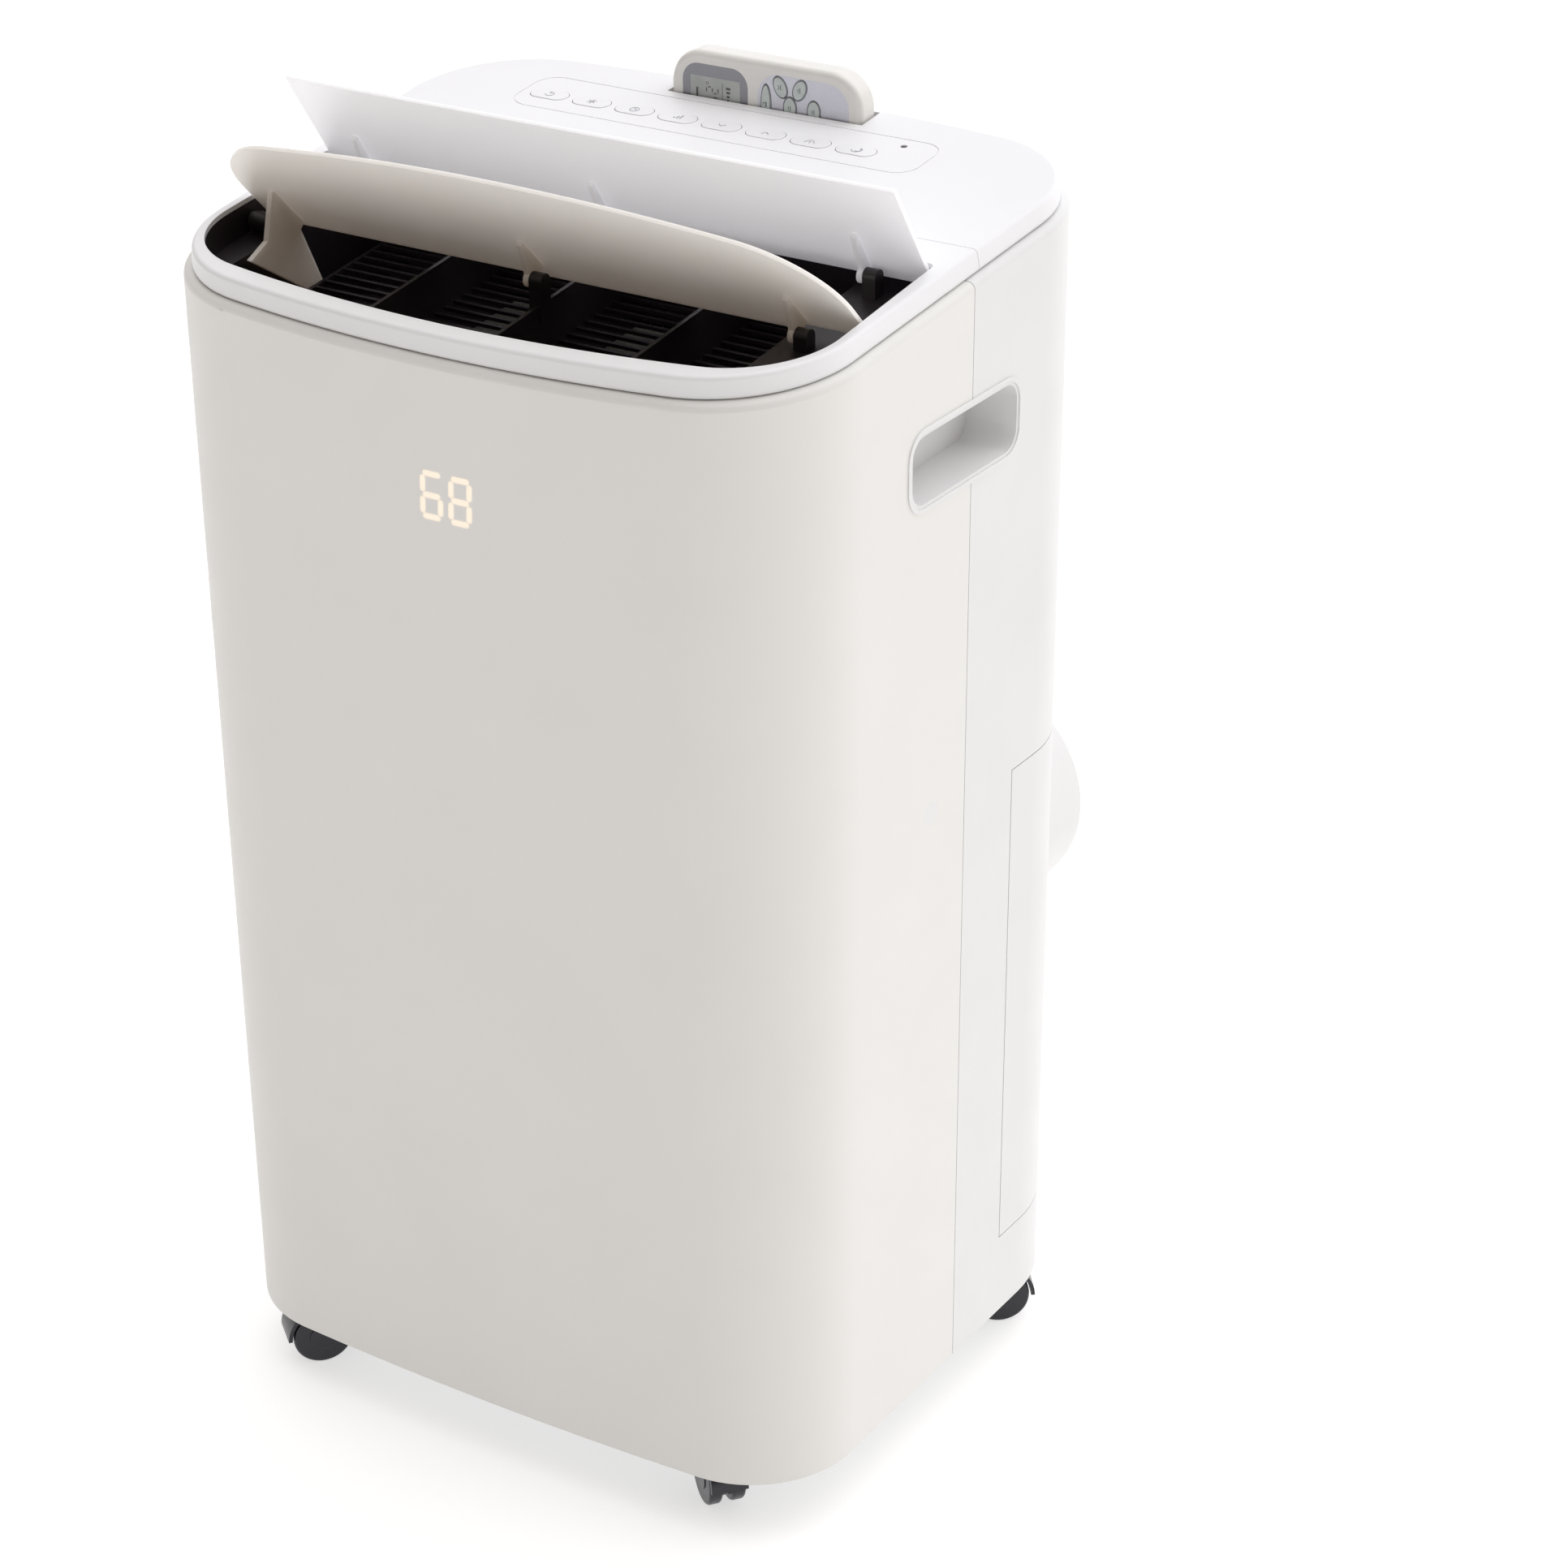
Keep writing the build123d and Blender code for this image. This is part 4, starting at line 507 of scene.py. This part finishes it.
def arc(plane, x, y, radius, start=0.0, sweep=360.0, width=0.5, height=PRINT):
    """A flat ring or part of one, spun from its cross-section."""
    piece = new_mesh(bpy.ops.mesh.primitive_plane_add, size=1)
    size = Matrix.Diagonal((width * MM, height * MM, 1, 1))
    settle(Matrix.Translation((radius * MM, 0, height / 2 * MM)) @ Matrix.Rotation(pi / 2, 4, "X") @ size)
    edit_all()
    bpy.ops.mesh.spin(steps=max(6, int(sweep / 15)), angle=radians(sweep), center=(0, 0, 0), axis=(0, 0, 1))
    bpy.ops.mesh.select_all(action="SELECT")
    bpy.ops.mesh.remove_doubles(threshold=0.000002)
    bpy.ops.mesh.fill_holes(sides=4)
    bpy.ops.object.mode_set(mode="OBJECT")
    settle(plane @ Matrix.Translation((x * MM, y * MM, 0)) @ Matrix.Rotation(radians(start), 4, "Z"))
    return piece


def finish_piece(name, finish, body, *pieces):
    """Join pieces, make their faces look outwards, and give them a name, a finish and a body."""
    bpy.ops.object.select_all(action="DESELECT")
    for piece in pieces:
        piece.select_set(True)
    bpy.context.view_layer.objects.active = pieces[0]
    if len(pieces) > 1:
        bpy.ops.object.join()
    joined = bpy.context.object
    joined.name = name
    edit_all()
    bpy.ops.mesh.normals_make_consistent(inside=False)
    bpy.ops.object.mode_set(mode="OBJECT")
    joined.data.materials.clear()
    joined.data.materials.append(finish)
    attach(joined, body)
    return joined


# %% [markdown]
# ## Marks on the eight deck buttons
#
# The marks are pad-printed in a pale grey and stand only 0.14 mm proud. Each
# button has its own generic sign, and its marks ride on it when it is pressed.

# %% Deck button marks
print_ink = moulded("print_ink", "#A9A9B2", "#A1A1AB", 0.5, grain_depth=0.001)
BUTTON_MARK_PLANE = TOP_PLANE @ Matrix.Translation((0, 0, BUTTON_PROUD * MM))
BUTTON_FIRST_X = -128.0
BUTTON_PITCH = 30.0
BUTTON_V = 107.0
# bars: x, y, length, width, turn; arcs: x, y, radius, start, sweep
BUTTON_MARKS = {
    "power": (((0, 1.8, 2.4, 0.5, 90),), ((0, 0, 2.6, 125, 290),)),
    "mode": (((0, 0, 6.0, 0.5, 90), (0, 0, 6.0, 0.5, 30), (0, 0, 6.0, 0.5, 150)), ()),
    "timer": (((0, 0.9, 1.9, 0.5, 90), (0.8, 0, 1.6, 0.5, 0)), ((0, 0, 2.8, 0, 360),)),
    "speed": (((-2, -0.8, 1.6, 0.9, 90), (0, 0, 3.2, 0.9, 90), (2, 0.8, 4.8, 0.9, 90)), ()),
    "down": (((-1.2, 0, 3.4, 0.6, -45), (1.2, 0, 3.4, 0.6, 45)), ()),
    "up": (((-1.2, 0, 3.4, 0.6, 45), (1.2, 0, 3.4, 0.6, -45)), ()),
    "swing": (((-2.2, 0, 4.4, 0.5, 60), (0, 0, 4.4, 0.5, 90), (2.2, 0, 4.4, 0.5, 120)), ()),
    "sleep": ((), ((0, 0, 2.8, 60, 240), (1.2, 0.6, 2.2, 75, 210))),
}
for index, name in enumerate(BUTTON_NAMES):
    x, y = BUTTON_FIRST_X + BUTTON_PITCH * index, BUTTON_V
    bars, arcs = BUTTON_MARKS[name]
    marks = [bar(BUTTON_MARK_PLANE, x + row[0], y + row[1], *row[2:]) for row in bars]
    marks += [arc(BUTTON_MARK_PLANE, x + row[0], y + row[1], *row[2:]) for row in arcs]
    finish_piece(f"button_mark_{name}", print_ink, f"button_{name}", *marks)
print("button marks:", len(BUTTON_NAMES))

# %% [markdown]
# ## The remote's screen and key marks
#
# The liquid crystal shows two seven-segment digits, a row of short bars for
# the fan, and a line under them. Everything is drawn in the remote's own
# upright frame and stands on its face. The dark crystal lies just over the
# film, so it is kept very thin.

# %% Remote marks
lcd_ink = moulded("lcd_crystal", "#4B504D", "#454A47", 0.35, grain_depth=0.001)
LCD_CENTRE = (0.0, 34.0)
LCD_DIGIT = (3.6, 8.0)
THINNEST = 0.35
marks = []
for digit, shift in (("6", -3.6), ("2", 2.4)):
    for x, y, half_x, half_y in digit_bars(digit, (LCD_CENTRE[0] + shift, LCD_CENTRE[1] + 2.0), LCD_DIGIT):
        size = [2 * max(half, THINNEST) for half in (half_x, half_y)]
        marks.append(bar(REMOTE_PLANE, x, y, *size, height=SCREEN_PRINT))
marks.append(arc(REMOTE_PLANE, 6.4, LCD_CENTRE[1] + 5.4, 0.7, width=0.3, height=SCREEN_PRINT))
for step in range(5):
    x, tall = 2.4 * (step - 2), 1.0 + 0.5 * step
    marks.append(bar(REMOTE_PLANE, x, LCD_CENTRE[1] - 9.0, 1.4, tall, height=SCREEN_PRINT))
marks.append(bar(REMOTE_PLANE, 0, LCD_CENTRE[1] - 5.0, 15.0, 0.35, height=SCREEN_PRINT))
marks.append(bar(REMOTE_PLANE, 0, LCD_CENTRE[1] + 12.5, 6.0, 1.4, height=SCREEN_PRINT))
finish_piece("remote_screen_marks", lcd_ink, "remote", *marks)

# along the remote from its middle towards its top end, across it, the key's two half widths, and its turn
KEY_GAP_SHADE_RINGS = (
    (-1.0, 0.0, 2.8, 11.0, 0), (-10.8, -11.4, 3.7, 6.0, -25), (-10.8, 11.4, 3.7, 6.0, 25),
    (-17.3, 0.0, 3.8, 6.0, 0), (-23.9, -11.4, 3.7, 6.0, 25), (-23.9, 11.4, 3.7, 6.0, -25),
    (-33.4, 0.0, 3.8, 6.0, 0),
)
RING_GAP = 0.75
RING_DRAWN = 10.0
# painted shade: a thin dark grey ring on the plate just outside each key, for the shade that falls in the gap
# round it
key_gap_shade = moulded("key_gap_shade", "#66676D", "#5C5D63", 0.4, grain_depth=0.001)
marks = []
for y, x, half_long, half_wide, turn in KEY_GAP_SHADE_RINGS:
    oval = Matrix.Diagonal(((half_long + RING_GAP) / RING_DRAWN, (half_wide + RING_GAP) / RING_DRAWN, 1, 1))
    laid = Matrix.Translation((x * MM, y * MM, 0)) @ Matrix.Rotation(radians(turn - 90), 4, "Z") @ oval
    marks.append(arc(REMOTE_PLANE @ laid, 0, 0, RING_DRAWN, width=1.0, height=KEY_PRINT))
finish_piece("remote_key_gap_shade", key_gap_shade, "remote", *marks)

KEY_MARK_PLANE = REMOTE_PLANE @ Matrix.Translation((0, 0, KEY_PROUD * MM))
# name, distance along the remote from its middle towards its top end, and distance across
KEY_MARKS = (("power", -1.0, 0.0), ("up", -10.8, -11.4), ("down", -10.8, 11.4), ("mode", -17.3, 0.0),
             ("fan", -23.9, -11.4), ("timer", -23.9, 11.4), ("units", -33.4, 0.0))
for name, y, x in KEY_MARKS:
    marks = [bar(KEY_MARK_PLANE, x, y - 0.6, 3.2, 0.4, height=KEY_PRINT)]
    if name == "power":
        marks.append(arc(KEY_MARK_PLANE, x, y + 0.6, 1.0, 125, 290, width=0.35, height=KEY_PRINT))
    elif name in ("up", "down"):
        lean = 40 if name == "up" else -40
        marks.append(bar(KEY_MARK_PLANE, x - 0.7, y + 0.8, 1.8, 0.35, lean, height=KEY_PRINT))
        marks.append(bar(KEY_MARK_PLANE, x + 0.7, y + 0.8, 1.8, 0.35, -lean, height=KEY_PRINT))
    else:
        marks.append(bar(KEY_MARK_PLANE, x, y + 0.7, 2.2, 0.4, height=KEY_PRINT))
    finish_piece(f"key_mark_{name}", lcd_ink, f"key_{name}", *marks)
print("remote marks:", 1 + len(KEY_MARKS))

# %% [markdown]
# ## Handle lips
#
# The cup's flange shows as a narrow ring round each handle. The side walls
# splay outwards by two degrees towards the back, so each lip is made flat and
# then laid on its own wall.

# %% Handle lips
WALL_SPLAY = atan(11.5 / 332.5)
LIP = 2.4
HANDLE = (114.0, 44.0, 14.0)
HANDLE_PLACE = (214.97, -2.0, 647.5)
for side, across in (("right", 1), ("left", -1)):
    piece = new_mesh(bpy.ops.mesh.primitive_plane_add, size=1)
    settle(Matrix.Diagonal(((HANDLE[0] + 2 * LIP) * MM, (HANDLE[1] + 2 * LIP) * MM, 1, 1)))
    edit_all()
    bpy.ops.mesh.bevel(offset=(HANDLE[2] + LIP) * MM, segments=10, affect="VERTICES")
    bpy.ops.mesh.select_mode(type="FACE")
    bpy.ops.mesh.select_all(action="SELECT")
    bpy.ops.mesh.inset(thickness=LIP * MM)
    bpy.ops.mesh.delete(type="FACE")
    bpy.ops.mesh.select_all(action="SELECT")
    bpy.ops.mesh.extrude_region_move(TRANSFORM_OT_translate={"value": (0, 0, 0.8 * MM)})
    bpy.ops.object.mode_set(mode="OBJECT")
    along = Vector((sin(WALL_SPLAY), across * cos(WALL_SPLAY), 0))
    out = Vector((across * cos(WALL_SPLAY), -sin(WALL_SPLAY), 0))
    wall = Matrix((along, Vector((0, 0, 1)), out)).transposed().to_4x4()
    middle = Vector((across * HANDLE_PLACE[0], HANDLE_PLACE[1], HANDLE_PLACE[2])) * MM
    settle(Matrix.Translation(middle) @ wall)
    finish_piece(f"handle_lip_{side}", casing_abs, "cabinet", piece)
print("handle lips: 2")

# %% [markdown]
# ## Filter screens
#
# A washable screen lies behind each louvred field: a stiff border with woven
# nylon gauze in it. The threads are drawn 1.8 mm apart; modelled threads would be
# tens of thousands of faces, so the weave is a pattern in the material and
# only the border is a mesh.

# %% Filter screens behind the louvres
gauze, tree, shader, place = new_finish("nylon_gauze", Roughness=0.6)
THREAD_PITCH = 1.8
threads = {0: waves(tree, place, THREAD_PITCH, "X"), 1: waves(tree, place, THREAD_PITCH, "Z")}
weave = add_node(tree, "Math", threads, operation="MAXIMUM").outputs[0]
share = spread(tree, weave, 0.6, 0.9, 0, 1)
# painted shade: the openings between the threads are coloured near black, for the shaded interior behind the
# screen
paint(tree, shader, share, "#232427", "#5C5E62")
roughen(tree, shader, share, 0.2)
SCREEN_DEPTH = 2.4
SCREEN_BORDER = 7.0
SCREEN_RECESS = 0.8
SCREENS = (
    ("upper_filter_screen", "upper_filter_door", (-140, 140), (474, 694), 152.0),
    ("lower_filter_screen", "lower_panel", (-156, 12), (122, 398), 146.0),
)
for name, body, x_range, z_range, y in SCREENS:
    piece = new_mesh(bpy.ops.mesh.primitive_cube_add, size=1)
    middle = Vector((sum(x_range) / 2, y, sum(z_range) / 2)) * MM
    wide, tall = (x_range[1] - x_range[0]) * MM, (z_range[1] - z_range[0]) * MM
    size = Matrix.Diagonal((wide, SCREEN_DEPTH * MM, tall, 1))
    settle(Matrix.Translation(middle) @ size)
    bpy.ops.object.mode_set(mode="EDIT")
    bpy.ops.mesh.select_mode(type="FACE")
    for direction in (1, -1):
        bpy.ops.object.mode_set(mode="OBJECT")
        for face in piece.data.polygons:
            face.select = face.normal.y * direction > 0.9
        bpy.ops.object.mode_set(mode="EDIT")
        bpy.ops.mesh.inset(thickness=SCREEN_BORDER * MM)
        recess = (0, -direction * SCREEN_RECESS * MM, 0)
        bpy.ops.mesh.extrude_region_move(TRANSFORM_OT_translate={"value": recess})
    bpy.ops.object.mode_set(mode="OBJECT")
    finish_piece(name, gauze, body, piece)
print("filter screens:", len(SCREENS))

# %% [markdown]
# ## Sensor lens, rating plate and gland nut
#
# The infrared eye on the deck is a small smoky dome. The rating plate is a
# blank silver film with a few grey rules, laid on the curved rear wall by
# projecting a fine grid onto it. The nut clamps the gland where a cord would
# leave.

# %% Sensor lens
lens_pc = enamel("smoked_polycarbonate", "#2A1E24", "#33262C", 0.08)
piece = new_mesh(bpy.ops.mesh.primitive_uv_sphere_add, segments=24, ring_count=12, radius=1.9 * MM)
edit_all()
bpy.ops.mesh.bisect(plane_co=(0, 0, 0), plane_no=(0, 0, 1), clear_inner=True, use_fill=True)
bpy.ops.object.mode_set(mode="OBJECT")
settle(TOP_PLANE @ Matrix.Translation((104 * MM, 123 * MM, -0.4 * MM)) @ Matrix.Diagonal((1, 1, 0.4, 1)))
bpy.ops.object.shade_smooth()
finish_piece("sensor_lens", lens_pc, "cabinet", piece)
print("sensor lens made")

# %% Rating plate
label_film, tree, shader, place = new_finish("label_film", Roughness=0.35, Metallic=0.3)
paint(tree, shader, brick_lines(tree, place, 200, 5, 0.5), "#C9CBCE", "#8A8D91")
piece = new_mesh(bpy.ops.mesh.primitive_grid_add, x_subdivisions=28, y_subdivisions=10, size=1)
PLATE_PLACE = (-0.055, 0.19, 0.446)
PLATE_SIZE = (0.07, 0.026)
facing_back = Matrix.Translation(PLATE_PLACE) @ Matrix.Rotation(-pi / 2, 4, "X")
settle(facing_back @ Matrix.Diagonal((*PLATE_SIZE, 1, 1)))
bpy.ops.object.modifier_add(type="SHRINKWRAP")
wrap = piece.modifiers[-1]
wrap.target = nodes["rear_casing"]
wrap.wrap_method = "PROJECT"
wrap.use_project_y = True
wrap.use_negative_direction = True
wrap.use_positive_direction = False
wrap.offset = 0.12 * MM
bpy.ops.object.modifier_apply(modifier=wrap.name)
edit_all()
bpy.ops.mesh.extrude_region_move(TRANSFORM_OT_translate={"value": (0, 0.1 * MM, 0)})
bpy.ops.object.mode_set(mode="OBJECT")
finish_piece("rating_plate", label_film, "cabinet", piece)
print("rating plate corners", [round(v, 4) for v in piece.bound_box[0]])

# %% Gland nut
low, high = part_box("cord_gland")
NUT_DEPTH = 6.0
piece = new_mesh(bpy.ops.mesh.primitive_cylinder_add, vertices=6, radius=9.4 * MM, depth=NUT_DEPTH * MM)
edit_all()
bpy.ops.mesh.bevel(offset=0.5 * MM, segments=2)
bpy.ops.mesh.select_mode(type="FACE")
bpy.ops.object.mode_set(mode="OBJECT")
top = max(piece.data.polygons, key=lambda face: face.normal.z * face.area)
for face in piece.data.polygons:
    face.select = face.index == top.index
bpy.ops.object.mode_set(mode="EDIT")
bpy.ops.mesh.inset(thickness=4 * MM)
bpy.ops.mesh.extrude_region_move(TRANSFORM_OT_translate={"value": (0, 0, -4.5 * MM)})
bpy.ops.object.mode_set(mode="OBJECT")
middle = Vector(((low[0] + high[0]) / 2, high[1] + NUT_DEPTH / 2 * MM, (low[2] + high[2]) / 2))
settle(Matrix.Translation(middle) @ Matrix.Rotation(-pi / 2, 4, "X"))
finish_piece("gland_nut", fitting_pp, "cabinet", piece)

# %% [markdown]
# ## Caster hub caps
#
# Each twin wheel has a shallow domed cap over its axle. The caps are made at
# the wheels' own places, which are read from the CAD pieces' boxes, and they
# turn with the wheels.

# %% Hub caps
HUB_REACH = 11.6
CASTER_TURNS = {"front_left": 140, "front_right": 230, "rear_left": 20, "rear_right": -53}
for corner, turn in CASTER_TURNS.items():
    low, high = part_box(f"caster_wheels_{corner}")
    hub = (Vector(low) + Vector(high)) / 2
    axle = Vector((cos(radians(turn)), sin(radians(turn)), 0))
    caps = []
    for side in (1, -1):
        piece = new_mesh(bpy.ops.mesh.primitive_cylinder_add, vertices=32, radius=9 * MM, depth=1.0 * MM)
        edit_all()
        bpy.ops.mesh.bevel(offset=0.35 * MM, segments=2)
        bpy.ops.object.mode_set(mode="OBJECT")
        tilt = Matrix.Rotation(radians(turn), 4, "Z") @ Matrix.Rotation(side * pi / 2, 4, "Y")
        settle(Matrix.Translation(hub + axle * side * HUB_REACH * MM) @ tilt)
        caps.append(piece)
    finish_piece(f"hub_caps_{corner}", caster_nylon, f"wheels_{corner}", *caps)
print("hub caps:", 2 * len(CASTER_TURNS))

# %% [markdown]
# ## Floor and light
#
# The set is that of a plain catalogue shot: a white sweep that almost disappears,
# a broad bright light above and behind, and little light on the front, so that
# the front reads as a warm grey. A sky that is brighter overhead and behind does
# the work of a large softbox. The paper glows a little, as a lit sweep does.

# %% Floor
FLOOR_SIZE = 60.0
PAPER_GLOW = 0.62
bpy.ops.mesh.primitive_plane_add(size=FLOOR_SIZE, location=(0, 0, 0))
floor = bpy.context.object
floor.name = "floor_sweep"
floor_paper, tree, shader, place = new_finish("floor_paper", Roughness=0.9)
tone = blend_colours(tree, noise(tree, place, 300, 2), shade("#C8C6C4"), shade("#CAC8C6"))
tree.links.new(tone, shader.inputs["Base Color"])
shader.inputs["Specular IOR Level"].default_value = 0.1
shader.inputs["Emission Color"].default_value = shade("#FFFFFF")
shader.inputs["Emission Strength"].default_value = PAPER_GLOW
floor.data.materials.append(floor_paper)
print("floor is", FLOOR_SIZE, "m across")

# %% Studio light
SKY_LOW = 0.16
SKY_HIGH = 1.30
SKY_AIM = (0.10, 0.74, 0.66)
world = bpy.data.worlds.new("studio")
bpy.context.scene.world = world
world.use_nodes = True
tree = world.node_tree
direction = add_node(tree, "TexCoord").outputs["Generated"]
facing = add_node(tree, "VectorMath", {0: direction, 1: SKY_AIM}, operation="DOT_PRODUCT").outputs["Value"]
share = spread(tree, facing, -0.1, 0.9, 0, 1)
tree.links.new(spread(tree, share, 0, 1, SKY_LOW, SKY_HIGH), tree.nodes["Background"].inputs["Strength"])
tint = blend_colours(tree, share, shade("#FFF3E6"), shade("#FAFBFF"))
tree.links.new(tint, tree.nodes["Background"].inputs["Color"])

LIGHTS = (
    ("side_softbox", (radians(0), radians(52), radians(48)), 0.14, "#FFFFFF", 50),
    ("top_softbox", (radians(-6), radians(6), 0), 0.86, "#FCFDFF", 60),
)
for name, turn, strength, colour, softness in LIGHTS:
    bpy.ops.object.light_add(type="SUN", rotation=turn)
    light = bpy.context.object
    light.name = name
    light.data.energy = strength
    light.data.color = shade(colour)[:3]
    light.data.angle = radians(softness)
bpy.context.scene.view_settings.view_transform = "Standard"
print("lights:", [row[0] for row in LIGHTS])
